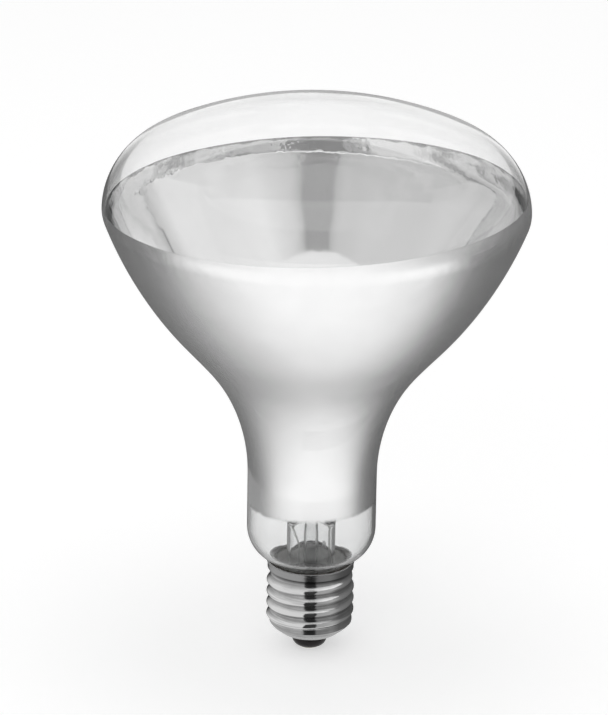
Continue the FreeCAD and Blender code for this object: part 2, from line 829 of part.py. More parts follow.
def rim_lead_places():
    """Where the rim lead passes the seal and where it stands inside the cap's rim."""
    across = half("lead_spacing")
    radius = half("outer_lead_diameter")
    past_seal = half("seal_diameter") + size("rim_lead_seal_gap") + radius
    in_rim = half("cap_rim_diameter") - size("cap_wall") - size("rim_lead_rim_gap") - radius
    beside_seal = root(past_seal * past_seal - across * across)
    at_rim = root(in_rim * in_rim - across * across)
    return beside_seal, at_rim


def rim_lead():
    """Copper wire from the pinch, under the seal and up through the cement to the cap's rim."""
    name = "rim_lead"
    body = new_body(name)
    across = half("lead_spacing")
    radius = half("outer_lead_diameter")
    top = SEAL_WIRE_BOTTOM
    low = SEAL_BOTTOM - size("stem_wall") - size("rim_lead_drop")
    finish = CAP_TOP - size("rim_lead_top_drop")
    beside_seal, at_rim = rim_lead_places()
    bend = SIZES["rim_lead_bend"]
    step = CAP_BAND - size("rim_lead_step_drop")
    far = beside_seal.value
    path = Drawing(body, name + "_path", "YZ_Plane", lift=across)
    drop = path.line((0.0, top.value), (0.0, low.value + bend))
    turn_out = path.arc((bend, low.value + bend), (0.0, low.value + bend), (bend, low.value))
    run = path.line((bend, low.value), (far - bend, low.value))
    turn_up = path.arc((far - bend, low.value + bend), (far - bend, low.value), (far, low.value + bend))
    rise = path.line((far, low.value + bend), (far, step.value))
    lean, settle, above = offset_bend(
        path, far, step.value, at_rim.value - far, size("rim_lead_step_radius"), False)
    end = path.line(above, (at_rim.value, finish.value))
    for edge in (drop, rise, end):
        path.rule("Vertical", edge.index)
    path.rule("Horizontal", run.index)
    path.place(drop, START, ZERO, top)
    path.set_y(run, START, low)
    path.set_x(rise, START, beside_seal)
    path.set_y(rise, END, step)
    path.place(end, END, at_rim, finish)
    path.radius(turn_out, size("rim_lead_bend"))
    path.radius(turn_up, size("rim_lead_bend"))
    for edges in ((drop, turn_out, run, turn_up, rise, lean), (settle, end)):
        for first, second in zip(edges, edges[1:]):
            path.flow(first, second)
    section = wire_section(body, name + "_section", across, top, radius)
    sweep(body, section, path, name + "_wire")
    return body


def screw_cap():
    """Drawn metal cap: domed foot with a hole, rolled round thread and a flared rim."""
    body = new_body("screw_cap")
    wall = size("cap_wall")
    thread_root = half("thread_minor_diameter")
    rim = half("cap_rim_diameter")
    dome = size("cap_dome_radius")
    bottom = size("cap_bottom")
    hole = half("cap_hole_diameter")
    draw = Drawing(body, "cap_section")
    draw.outline([
        Corner(hole, bottom, dome),
        Corner(thread_root, CAP_DOME_TOP),
        Corner(thread_root, CAP_BAND),
        Corner(rim, CAP_LIP),
        Corner(rim, CAP_TOP),
        Corner(rim - wall, CAP_TOP),
        Corner(rim - wall, CAP_LIP),
        Corner(thread_root - wall, CAP_BAND),
        Corner(thread_root - wall, CAP_DOME_TOP, dome - wall, False),
        Corner(hole, bottom + wall),
    ])
    revolve(body, draw, "drawn_cap")
    DOC.recompute()

    base = thread_root - size("thread_root_sink")
    crest = size("thread_crest_radius")
    spread = half("thread_base_width")
    centre = half("thread_major_diameter") - crest
    low = (base.value, THREAD_START.value - spread.value)
    high = (base.value, THREAD_START.value + spread.value)
    middle = (centre.value, THREAD_START.value)
    reach = math.dist(middle, low)
    swing = math.atan2(low[1] - middle[1], low[0] - middle[0]) + math.acos(crest.value / reach)
    crest_x = middle[0] + crest.value * math.cos(swing)
    crest_rise = crest.value * math.sin(-swing)
    crest_low = (crest_x, middle[1] - crest_rise)
    crest_high = (crest_x, middle[1] + crest_rise)
    ridge = Drawing(body, "thread_section")
    foot = ridge.line(high, low)
    lower = ridge.line(low, crest_low)
    top = ridge.arc(middle, crest_low, crest_high)
    upper = ridge.line(crest_high, high)
    ridge.meet(foot, lower)
    ridge.flow(lower, top)
    ridge.flow(top, upper)
    ridge.meet(upper, foot)
    ridge.place(foot, START, base, THREAD_START + spread)
    ridge.place(foot, END, base, THREAD_START - spread)
    ridge.place(top, CENTRE, centre, THREAD_START)
    ridge.radius(top, crest)
    thread = body.newObject("PartDesign::AdditiveHelix", "rolled_thread")
    thread.Profile = ridge.sketch
    thread.ReferenceAxis = (ridge.sketch, ["V_Axis"])
    thread.Mode = "pitch-height-angle"
    thread.setExpression("Pitch", "Sizes.thread_pitch")
    thread.setExpression("Height", "Sizes.thread_length")
    return body


def base_insulator():
    """Dark glass that fills the domed foot of the cap and bulges through its hole round the contact."""
    body = new_body("base_insulator")
    wall = size("cap_wall")
    contact = half("contact_diameter")
    stem = half("contact_stem_diameter")
    seat = size("contact_thickness")
    hole = half("contact_hole_diameter")
    cap_hole = half("cap_hole_diameter")
    bottom = size("cap_bottom")
    draw = Drawing(body, "insulator_section")
    draw.outline([
        Corner(stem, seat),
        Corner(contact, seat),
        Corner(contact, size("insulator_bottom"), size("insulator_bulge_radius")),
        Corner(cap_hole, bottom),
        Corner(cap_hole, bottom + wall, size("cap_dome_radius") - wall),
        Corner(half("thread_minor_diameter") - wall, CAP_DOME_TOP),
        Corner(hole, size("contact_stem_top") + size("insulator_core")),
        Corner(hole, size("contact_stem_top")),
        Corner(stem, size("contact_stem_top")),
    ])
    revolve(body, draw, "moulded_insulator")
    return body


def contact_eyelet():
    body = new_body("contact_eyelet")
    radius = half("contact_diameter")
    edge = size("contact_edge_radius")
    stem = half("contact_stem_diameter")
    hole = half("contact_hole_diameter")
    draw = Drawing(body, "eyelet_section")
    draw.outline([
        Corner(hole, ZERO),
        Corner(radius - edge, ZERO, edge),
        Corner(radius, edge),
        Corner(radius, size("contact_thickness")),
        Corner(stem, size("contact_thickness")),
        Corner(stem, size("contact_stem_top")),
        Corner(hole, size("contact_stem_top")),
    ])
    revolve(body, draw, "pressed_eyelet")
    return body


def contact_solder():
    """Solder that fills the eyelet flush with its flat and holds the end of the lead."""
    body = new_body("contact_solder")
    hole = half("contact_hole_diameter")
    wire = half("outer_lead_diameter")
    draw = Drawing(body, "solder_section")
    draw.outline([
        Corner(ZERO, ZERO),
        Corner(hole, ZERO),
        Corner(hole, size("contact_solder_top")),
        Corner(wire, size("contact_solder_top")),
        Corner(wire, size("contact_lead_end")),
        Corner(ZERO, size("contact_lead_end")),
    ])
    revolve(body, draw, "solder_fill")
    return body


def basing_cement(envelope, lead):
    """Ring of cement between the cap and the bulb, with the lead running through it."""
    blank = new_body("cement_blank")
    wall = size("cap_wall")
    root_inside = half("thread_minor_diameter") - wall
    rim_inside = half("cap_rim_diameter") - wall
    seal = half("seal_diameter")
    bottom = SEAL_BOTTOM + size("cement_lap")
    top = CAP_LIP + size("cement_lip_rise")
    draw = Drawing(blank, "cement_section")
    draw.outline([
        Corner(seal, bottom),
        Corner(root_inside, bottom),
        Corner(root_inside, CAP_BAND),
        Corner(rim_inside, CAP_LIP),
        Corner(rim_inside, top),
        Corner(seal, top),
    ])
    revolve(blank, draw, "cement_ring")
    return cut_from(blank, [envelope, lead], "basing_cement")


def cut_from(blank, tools, name):
    """The blank less each tool in turn. The last cut carries the name."""
    for index, tool in enumerate(tools, start=1):
        cut = DOC.addObject("Part::Cut", name if index == len(tools) else f"{name}_{index}")
        cut.Base = blank
        cut.Tool = tool
        blank = cut
    return blank


def rim_solder(neighbours):
    """Bead of solder that joins the rim lead to the cap, filling the space round them."""
    blank = DOC.addObject("Part::Sphere", "solder_bead")
    blank.setExpression("Radius", half("rim_solder_diameter").formula)
    blank.setExpression("Placement.Base.x", half("lead_spacing").formula)
    blank.setExpression("Placement.Base.y", rim_lead_places()[1].formula)
    blank.setExpression("Placement.Base.z", "Sizes.cap_height")
    return cut_from(blank, neighbours, "rim_solder")


def build():
    envelope = glass_envelope()
    cap = screw_cap()
    lead = rim_lead()
    cement = basing_cement(envelope, lead)
    nodes = [
        envelope,
        reflector_coating(),
        stem_flare(),
        exhaust_tube(),
        support_rod(),
        filament_coil(),
        inner_lead("inner_lead_left", -1),
        inner_lead("inner_lead_right", 1),
        seal_wire("seal_wire_left", -1),
        seal_wire("seal_wire_right", 1),
        contact_lead(),
        lead,
        cap,
        base_insulator(),
        contact_eyelet(),
        contact_solder(),
        cement,
        rim_solder([cap, envelope, cement, lead]),
    ]
    for index, angle in enumerate(hook_angles(), start=1):
        nodes.append(support_hook(f"support_hook_{index}", angle))
    DOC.recompute()
    return nodes


def check(nodes):
    for item in DOC.Objects:
        if "Invalid" in item.State or "Error" in item.State:
            raise RuntimeError(f"{item.Name} failed: {item.State}")
    for node in nodes:
        if node.Shape.isNull() or not node.Shape.isValid() or len(node.Shape.Solids) != 1:
            raise RuntimeError(f"{node.Label} is not one valid solid")


def write(nodes):
    os.makedirs("parts", exist_ok=True)
    for node in nodes:
        node.Shape.exportStep(os.path.join("parts", f"{node.Label}.step"))
        print(f"{node.Label}: {node.Shape.Volume:.1f} mm3")


NODES = build()
check(NODES)
write(NODES)
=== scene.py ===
import math

import bpy
import numpy as np
from mathutils import Matrix, Vector


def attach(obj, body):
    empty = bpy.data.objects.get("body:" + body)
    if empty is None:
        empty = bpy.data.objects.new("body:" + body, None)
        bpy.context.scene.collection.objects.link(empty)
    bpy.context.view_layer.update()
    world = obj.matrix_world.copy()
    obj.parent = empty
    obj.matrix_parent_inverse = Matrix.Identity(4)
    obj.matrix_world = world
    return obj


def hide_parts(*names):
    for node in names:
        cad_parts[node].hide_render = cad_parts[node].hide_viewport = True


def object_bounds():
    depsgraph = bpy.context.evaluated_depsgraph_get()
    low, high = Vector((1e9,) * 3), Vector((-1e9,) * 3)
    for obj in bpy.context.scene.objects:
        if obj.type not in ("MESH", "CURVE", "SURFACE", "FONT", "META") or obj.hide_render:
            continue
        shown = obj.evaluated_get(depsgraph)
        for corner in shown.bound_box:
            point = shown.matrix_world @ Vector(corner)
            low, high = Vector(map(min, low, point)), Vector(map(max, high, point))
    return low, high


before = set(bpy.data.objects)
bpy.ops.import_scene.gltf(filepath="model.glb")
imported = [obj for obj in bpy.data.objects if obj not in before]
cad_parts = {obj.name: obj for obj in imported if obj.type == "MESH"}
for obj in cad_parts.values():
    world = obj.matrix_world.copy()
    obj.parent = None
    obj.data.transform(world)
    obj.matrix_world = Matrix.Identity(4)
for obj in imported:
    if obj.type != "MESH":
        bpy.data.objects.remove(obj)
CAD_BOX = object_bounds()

MM = 0.001
SHARP_ANGLE = math.radians(35.0)
ON_AXIS = 1e-6

# Spacing of the points on the bulb's line, in millimetres
GLASS_SPACING = 1.6
FINE_SPACING = 0.4

# The bulb's meridian, in millimetres: the sizes its glass is blown to
BULB_RADIUS = 62.5
OVERALL_LENGTH = 169.0
RIM_HEIGHT = 138.5
RIM_RADIUS = 8.2
SHOULDER_RADIUS = 22.3
CROWN_RADIUS = 117.0
BOWL_RADIUS = 119.5
FLARE_RADIUS = 54.5
NECK_RADIUS = 19.2
NECK_TOP = 55.6
NECK_BOTTOM = 39.1
NECK_SHOULDER_RADIUS = 11.0
SEAL_RADIUS = 11.0
SEAL_FILLET_RADIUS = 3.0
SEAL_BOTTOM = 20.0
GLASS_WALL = 1.0

# How far the bend between flare and bowl is softened, over what length, and how little elsewhere, in
# millimetres
BEND_SOFTNESS = 5.0
BEND_LENGTH = 14.0
LEAST_SOFTNESS = 0.001

# Silvering, in millimetres and degrees: both its faces as insets of the bulb, and its slanting ends
FILM_OUTSIDE = 0.95
FILM_INSIDE = 1.05
FILM_TOP = 141.4
FILM_BOTTOM = 46.6
FILM_TILT = 1.95
FILM_SLOPE = math.tan(math.radians(FILM_TILT))

# The film's frayed foot, its thin uneven upper edge, and how far below the film's top its fine ripples
# begin and are full
FILM_FADE = 1.6
FILM_EDGE = 0.8
FILM_EDGE_SOFT = 0.4
FILM_EDGE_WAVER = 4.0
FINE_RIPPLE_START = 11.0
FINE_RIPPLE_FULL = 4.0

# The film's inner face rolls in near the rim, in millimetres. The roll's depth wavers round the axis, in
# waves given by their count and their share of the depth.
ROLL = 0.42
ROLL_DEPTH = 5.2
ROLL_TAPER = 3.2
ROLL_WAVES = ((3, -0.2), (8, 0.1), (19, 0.06))

# Screw cap, in millimetres, and its thread's ends in turns
CAP_WALL = 0.4
CAP_BOTTOM = 3.7
CAP_HOLE_RADIUS = 5.1
CAP_DOME_RADIUS = 15.0
CAP_DOME_TOP = 8.3
CAP_BAND_BOTTOM = 25.2
CAP_LIP = 25.8
CAP_RIM_RADIUS = 12.9
CAP_HEIGHT = 28.1
CAP_BEAD = 0.15
CAP_RINGS = 3
CAP_RING_DEPTH = 0.16
# How far below the band the painted shade in its corner reaches
CAP_CORNER_SHADE = 0.9
THREAD_ROOT = 12.1
THREAD_CREST = 13.1
THREAD_PITCH = 3.629
THREAD_BOTTOM = 8.7
THREAD_RUN_OUT = 0.5
THREAD_TURNS = 4.0
THREAD_FADE = 0.22

# Cement in the cap, in millimetres: the drops are measured down from the cap's rim
CEMENT_BOTTOM = 21.0
CEMENT_GRIP = 0.15
CEMENT_WIDEST_GRIP = 13.0
CEMENT_GLASS_DROP = 0.1
CEMENT_HOLLOW_DROP = 0.4
CEMENT_RIM_DROP = 0.25
# The painted shade at the cement's top is full above the first of these drops and gone below the second
CEMENT_SHADE_DROP = 0.5
CEMENT_PALE_DROP = 1.2

# Insulator under the cap, in millimetres
INSULATOR_BOTTOM = 0.35
INSULATOR_BULGE_RADIUS = 2.6
INSULATOR_TOP = 7.0
CONTACT_RADIUS = 3.1
CONTACT_THICKNESS = 0.7
CONTACT_STEM_RADIUS = 1.7
CONTACT_STEM_TOP = 3.4
CONTACT_HOLE_RADIUS = 0.9

# Glass stem, in millimetres. The pinch's melted edge is given as drops from its top and shares of its
# section.
STEM_RADIUS = 7.2
STEM_WALL = 1.0
STEM_FOOT_GAP = 0.02
STEM_TOP = 39.0
STEM_BORE_TOP = 42.5
STEM_BORE_CLOSING = 0.98
PINCH_BOTTOM = 46.5
PINCH_TOP = 54.0
PINCH_HALF_WIDTH = 8.5
PINCH_HALF_THICKNESS = 2.25
PINCH_EDGE = ((0.9, 1.0), (0.4, 0.98), (0.12, 0.94), (0.0, 0.86))

# Filament, in millimetres
FILAMENT_RING = 14.0
FILAMENT_HEIGHT = 84.0
FILAMENT_COIL_RADIUS = 0.6
FILAMENT_WIRE_RADIUS = 0.1
FILAMENT_PITCH = 0.45
FILAMENT_GAP = 3.9
FILAMENT_STEPS_A_TURN = 10

# The camera, from the photograph: its lens in pixels and its sensor, the rest in millimetres and degrees
IMAGE_HEIGHT = 715
FOCAL_PIXELS = 4413.0
SENSOR = 36.0
CAMERA_DISTANCE = 1217.0
CAMERA_HEIGHT = 543.0
CAMERA_SIDE = -3.0
CAMERA_PITCH = 20.33
CAMERA_ROLL = 0.95

# The stage, in metres, with heights from the floor. The spread is how far the paper's tones move forward for
# each metre to the side.
FLOOR_LEVEL = CAD_BOX[0][2]
FLOOR_SIZE = 8.0
SCREEN_RADIUS = 0.8
SCREEN_FOOT_TOP = 0.22
SCREEN_TOP = 1.23
LOW_SCREEN_HOLE = 0.0135
LOW_SCREEN_RADIUS = 0.04
LOW_SCREEN_BOTTOM = 0.0008
LOW_SCREEN_TOP = 0.045
LOW_SCREEN_REACH = 0.048
PAPER_SIZE = 1.5
PAPER_LIFT = 0.0005
PAPER_REACH = 0.3
PAPER_MIDDLE = 0.03
PAPER_SPREAD = 0.25

# Light from all sides
WORLD_STRENGTH = 0.4


# Lines

def turned(point, angle):
    """A meridian point (radius, height) in millimetres, turned about the axis, in metres."""
    radius, height = point
    return (radius * math.cos(angle) * MM, radius * math.sin(angle) * MM, height * MM)


def crossing(first, first_radius, second, second_radius, side):
    """Where two circles cross, on the left (side 1) or right (side -1) from first to second."""
    along = (second[0] - first[0], second[1] - first[1])
    gap = math.hypot(*along)
    reach = (first_radius ** 2 - second_radius ** 2 + gap ** 2) / (2 * gap)
    rise = math.sqrt(first_radius ** 2 - reach ** 2)
    return (
        first[0] + (reach * along[0] - side * rise * along[1]) / gap,
        first[1] + (reach * along[1] + side * rise * along[0]) / gap,
    )


def direction(centre, target):
    """The angle at which a target lies from a centre."""
    return math.atan2(target[1] - centre[1], target[0] - centre[0])


def on_circle(centre, radius, angle):
    """The point of a circle at an angle."""
    return (centre[0] + radius * math.cos(angle), centre[1] + radius * math.sin(angle))


def shares(count):
    """Even steps up to 1, without the 0."""
    return [step / count for step in range(1, count + 1)]


def ease(share):
    """A share from 0 to 1, slow at both ends."""
    return share * share * (3 - 2 * share)


def arc(centre, radius, start, end, spacing):
    """Points on an arc from one direction to another, the first one left out."""
    count = max(2, math.ceil(abs(end - start) * radius / spacing))
    return [on_circle(centre, radius, start + (end - start) * share) for share in shares(count)]


def lengths_along(line):
    """How far along a line each of its points lies."""
    return np.concatenate([[0.0], np.cumsum(np.hypot(*np.diff(line, axis=0).T))])


def softened(points, bend):
    """A line of points, softened near one of them, where the glass flows from one arc into the next."""
    line = np.array(points)
    length = lengths_along(line)
    reach = BEND_SOFTNESS * np.exp(-((length - length[bend]) / BEND_LENGTH) ** 2) + LEAST_SOFTNESS
    apart = (length[None, :] - length[:, None]) / reach[:, None]
    weights = np.exp(-0.5 * apart ** 2) * np.gradient(length)
    means = weights @ line / weights.sum(axis=1, keepdims=True)
    return [tuple(point) for point in means.tolist()]


def bulb_meridian(inset, spacing):
    """The bulb's line from the seal to the crown, moved inward by an inset."""
    flare_at = (NECK_RADIUS + FLARE_RADIUS, NECK_TOP)
    rim_at = (BULB_RADIUS - RIM_RADIUS, RIM_HEIGHT)
    crown_at = (0.0, OVERALL_LENGTH - CROWN_RADIUS)
    bowl_at = crossing(flare_at, FLARE_RADIUS + BOWL_RADIUS, rim_at, BOWL_RADIUS - RIM_RADIUS, 1)
    shoulder_at = crossing(
        rim_at, SHOULDER_RADIUS - RIM_RADIUS, crown_at, CROWN_RADIUS - SHOULDER_RADIUS, -1)
    neck_at = (NECK_RADIUS - NECK_SHOULDER_RADIUS, NECK_BOTTOM)
    fillet_x = SEAL_RADIUS + SEAL_FILLET_RADIUS
    drop = math.sqrt((NECK_SHOULDER_RADIUS + SEAL_FILLET_RADIUS) ** 2 - (fillet_x - neck_at[0]) ** 2)
    fillet_at = (fillet_x, NECK_BOTTOM - drop)

    neck_turn = direction(neck_at, fillet_at)
    flare_turn = direction(flare_at, bowl_at)
    bowl_turn = direction(bowl_at, rim_at)
    rim_turn = direction(shoulder_at, rim_at)
    crown_turn = direction(crown_at, shoulder_at)
    points = [(SEAL_RADIUS - inset, SEAL_BOTTOM), (SEAL_RADIUS - inset, fillet_at[1])]
    points += arc(fillet_at, SEAL_FILLET_RADIUS + inset, math.pi, neck_turn + math.pi, spacing / 2)
    points += arc(neck_at, NECK_SHOULDER_RADIUS - inset, neck_turn, 0.0, spacing / 2)
    points.append((NECK_RADIUS - inset, NECK_TOP))
    points += arc(flare_at, FLARE_RADIUS + inset, math.pi, flare_turn, spacing)
    bend = len(points) - 1
    points += arc(bowl_at, BOWL_RADIUS - inset, flare_turn - math.pi, bowl_turn, spacing)
    points += arc(rim_at, RIM_RADIUS - inset, bowl_turn, rim_turn, spacing / 2)
    points += arc(shoulder_at, SHOULDER_RADIUS - inset, rim_turn, crown_turn, spacing / 2)
    points += arc(crown_at, CROWN_RADIUS - inset, crown_turn, math.pi / 2, spacing)
    return softened(points, bend)


# Meshes

def new_mesh(name, points, faces, smooth=True):
    """An object made of points in metres and faces. A smooth one keeps its sharp edges."""
    mesh = bpy.data.meshes.new(name)
    mesh.from_pydata(points, [], faces)
    mesh.validate()
    mesh.update()
    if smooth:
        mesh.shade_smooth()
        mesh.set_sharp_from_angle(angle=SHARP_ANGLE)
    piece = bpy.data.objects.new(name, mesh)
    bpy.context.scene.collection.objects.link(piece)
    return piece


def band_faces(low, high, columns, flip=False):
    """Quads between two rings of points, each ring given by its first point."""
    faces = []
    for column in range(columns):
        after = (column + 1) % columns
        face = (low + column, low + after, high + after, high + column)
        faces.append(face[::-1] if flip else face)
    return faces


def grid_faces(rows, columns, first=0, flip=False):
    """Quads of a grid whose columns close into a ring."""
    faces = []
    for row in range(rows - 1):
        low = first + row * columns
        faces += band_faces(low, low + columns, columns, flip)
    return faces


def lathe(name, profile, segments=192):
    """Closed turned piece. The profile goes up the outside first; points on the axis become poles."""
    points, faces, rings = [], [], []
    for radius, height in profile:
        count = 1 if radius < ON_AXIS else segments
        rings.append((len(points), count))
        points += [turned((radius, height), 2 * math.pi * step / segments) for step in range(count)]
    around = [(step, (step + 1) % segments) for step in range(segments)]
    for (low, low_count), (high, high_count) in zip(rings, rings[1:] + rings[:1]):
        if low_count == 1 and high_count == 1:
            continue
        if low_count == 1:
            faces += [(low, high + after, high + step) for step, after in around]
        elif high_count == 1:
            faces += [(low + step, low + after, high) for step, after in around]
        else:
            faces += band_faces(low, high, segments)
    return new_mesh(name, points, faces)


def tube(name, path, radius, sides):
    """Round wire along a path of points in metres, closed at both ends."""
    path = [Vector(point) for point in path]
    tangents = [(after - before).normalized() for before, after in zip(path, path[1:])]
    tangents.append(tangents[-1])
    side = tangents[0].orthogonal().normalized()
    points = []
    for place, tangent in zip(path, tangents):
        side = (side - side.dot(tangent) * tangent).normalized()
        across = tangent.cross(side)
        for step in range(sides):
            angle = 2 * math.pi * step / sides
            points.append(place + radius * (math.cos(angle) * side + math.sin(angle) * across))
    faces = grid_faces(len(path), sides)
    faces.append(tuple(reversed(range(sides))))
    faces.append(tuple(range(len(points) - sides, len(points))))
    return new_mesh(name, points, faces)


# Nodes of materials

def blank_material(name):
    """A material without nodes, and its tree."""
    material = bpy.data.materials.new(name)
    material.use_nodes = True
    material.node_tree.nodes.clear()
    return material, material.node_tree


def feed(tree, socket, value):
    """Link an input to another node's socket, or set it to a constant."""
    if isinstance(value, bpy.types.NodeSocket):
        tree.links.new(value, socket)
    else:
        socket.default_value = value


def add(tree, kind, **inputs):
    """A node with its inputs fed. In an input's name, _ stands for a space."""
    node = tree.nodes.new(kind)
    for name, value in inputs.items():
        feed(tree, node.inputs[name.replace("_", " ")], value)
    return node


def feed_in_order(tree, node, values):
    """Feed a node's first inputs."""
    for socket, value in zip(node.inputs, values):
        feed(tree, socket, value)


def number(tree, operation, *values, clamp=False):
    """What an operation makes of numbers."""
    node = tree.nodes.new("ShaderNodeMath")
    node.operation = operation
    node.use_clamp = clamp
    feed_in_order(tree, node, values)
    return node.outputs["Value"]


def vectors(tree, operation, *values):
    """What an operation makes of vectors, as a Vector or a Value."""
    node = tree.nodes.new("ShaderNodeVectorMath")
    node.operation = operation
    feed_in_order(tree, node, values)
    return node.outputs


def span(tree, value, low, high, interpolation="LINEAR"):
    """How far a value has come from low to high, from 0 to 1."""
    node = add(tree, "ShaderNodeMapRange", Value=value, From_Min=low, From_Max=high)
    node.interpolation_type = interpolation
    return node.outputs["Result"]


def place_on(tree):
    """The place on the object, in its own metres."""
    return tree.nodes.new("ShaderNodeTexCoord").outputs["Object"]


def parts_of(tree, place):
    """The X, Y and Z of a place."""
    return add(tree, "ShaderNodeSeparateXYZ", Vector=place).outputs


def noise(tree, place, scale, detail=3.0, stretch=None):
    """Cloudy noise, finer with a larger scale."""
    if stretch is not None:
        place = add(tree, "ShaderNodeMapping", Vector=place, Scale=stretch).outputs["Vector"]
    return add(tree, "ShaderNodeTexNoise", Vector=place, Scale=scale, Detail=detail).outputs["Fac"]


def bump(tree, height, strength, distance):
    """The normal of a surface with a relief."""
    node = add(tree, "ShaderNodeBump", Height=height, Strength=strength, Distance=distance)
    return node.outputs["Normal"]


def colour_of(tone):
    """A colour from a grey level, or from red, green and blue."""
    return (*tone, 1.0) if isinstance(tone, tuple) else (tone, tone, tone, 1.0)


def ramp(tree, factor, *stops):
    """A tone that runs with a factor through stops, each a place from 0 to 1 and its tone."""
    node = add(tree, "ShaderNodeValToRGB", Fac=factor)
    elements = node.color_ramp.elements
    for index, (place, tone) in enumerate(stops):
        element = elements[index] if index < 2 else elements.new(place)
        element.position = place
        element.color = colour_of(tone)
    return node.outputs["Color"]


def mixed(tree, factor, first, second):
    """A blend of two tones, each a socket or a grey level."""
    node = tree.nodes.new("ShaderNodeMix")
    node.data_type = "RGBA"
    feed(tree, node.inputs["Factor"], factor)
    for name, tone in (("A", first), ("B", second)):
        feed(tree, node.inputs[name], colour_of(tone) if isinstance(tone, float) else tone)
    return node.outputs["Result"]


def shader_mix(tree, factor, first, second):
    """A blend of two shaders' sockets."""
    node = tree.nodes.new("ShaderNodeMixShader")
    feed_in_order(tree, node, (factor, first, second))
    return node.outputs["Shader"]


def show(tree, surface):
    """Make a shader's socket what is seen of the material."""
    output = tree.nodes.new("ShaderNodeOutputMaterial")
    tree.links.new(surface, output.inputs["Surface"])


# Materials

def clear_glass(name, ripple, neck_shade_tint):
    """Blown glass with faint ripples and smears, greyer low down in a painted shade that dims the neck.

    It lets the lamps' light through.
    """
    full_tint, green = 0.99, 0.003
    material, tree = blank_material(name)
    place = place_on(tree)
    # Painted shade: the glass's tint turns grey from the top of the neck down
    up_neck = span(tree, parts_of(tree, place)["Z"], NECK_BOTTOM * MM, NECK_TOP * MM)
    neck_shade_colour = (neck_shade_tint, neck_shade_tint + green, neck_shade_tint + green)
    tint = ramp(tree, up_neck, (0.0, neck_shade_colour), (1.0, full_tint))
    smear = ramp(tree, noise(tree, place, scale=60.0), (0.45, 0.0), (0.8, 0.02))
    relief = bump(tree, noise(tree, place, scale=35.0, detail=1.0), strength=ripple, distance=0.0004)
    glass = add(tree, "ShaderNodeBsdfPrincipled", Base_Color=tint, Roughness=smear, Normal=relief,
                Transmission_Weight=1.0, IOR=1.5)
    clear = add(tree, "ShaderNodeBsdfTransparent", Color=colour_of((0.96, 0.97, 0.97)))
    for_lamps = tree.nodes.new("ShaderNodeLightPath").outputs["Is Shadow Ray"]
    show(tree, shader_mix(tree, for_lamps, glass.outputs["BSDF"], clear.outputs["BSDF"]))
    return material


def metal(name, dark, light, smooth, rough, scale, relief=0.0):
    """Metal whose tone and gloss wander between two levels."""
    material, tree = blank_material(name)
    place = place_on(tree)
    cloud = noise(tree, place, scale, detail=5.0)
    tone = ramp(tree, cloud, (0.3, dark), (0.7, light))
    gloss = ramp(tree, cloud, (0.3, rough), (0.7, smooth))
    body = add(tree, "ShaderNodeBsdfPrincipled", Metallic=1.0, Base_Color=tone, Roughness=gloss)
    if relief:
        grain = noise(tree, place, scale=400.0, detail=4.0)
        feed(tree, body.inputs["Normal"], bump(tree, grain, strength=relief, distance=0.0002))
    show(tree, body.outputs["BSDF"])
    return material


def film_material(name, smooth, rough, ripple, edge_tone):
    """Evaporated aluminium: cloudy gloss, ripples that are finer near the rim, and thin, uneven edges."""
    material, tree = blank_material(name)
    place = place_on(tree)
    level = vectors(tree, "DOT_PRODUCT", place, (-FILM_SLOPE, 0.0, 1.0))["Value"]
    cloud = noise(tree, place, scale=28.0, detail=4.0)
    gloss = ramp(tree, cloud, (0.3, rough), (0.7, smooth))

    fine_share = 0.35
    near_rim = span(tree, level, (FILM_TOP - FINE_RIPPLE_START) * MM, (FILM_TOP - FINE_RIPPLE_FULL) * MM)
    fine = number(tree, "MULTIPLY", noise(tree, place, scale=230.0, detail=2.0), near_rim)
    waves = number(tree, "MULTIPLY_ADD", fine, fine_share, noise(tree, place, scale=22.0, detail=3.5))
    relief = bump(tree, waves, strength=ripple, distance=0.002)

    ragged = noise(tree, place, scale=160.0, detail=4.0)
    uneven = number(tree, "MULTIPLY_ADD", ragged, FILM_EDGE_WAVER * MM, level)
    brink = (FILM_TOP - FILM_EDGE + FILM_EDGE_WAVER / 2) * MM
    upper = span(tree, uneven, brink, brink + FILM_EDGE_SOFT * MM)
    silver = ramp(tree, cloud, (0.3, 0.88), (0.65, 0.93))
    tone = mixed(tree, upper, silver, edge_tone)

    threads = noise(tree, place, scale=500.0, detail=4.0)
    frayed = number(tree, "MULTIPLY_ADD", threads, -FILM_FADE * MM, level)
    foot = (FILM_BOTTOM - FILM_FADE / 2) * MM
    solid = span(tree, frayed, foot, foot + FILM_FADE * MM, "SMOOTHSTEP")
    body = add(tree, "ShaderNodeBsdfPrincipled", Metallic=1.0, Base_Color=tone, Roughness=gloss,
               Normal=relief)
    clear = tree.nodes.new("ShaderNodeBsdfTransparent")
    show(tree, shader_mix(tree, solid, clear.outputs["BSDF"], body.outputs["BSDF"]))
    return material


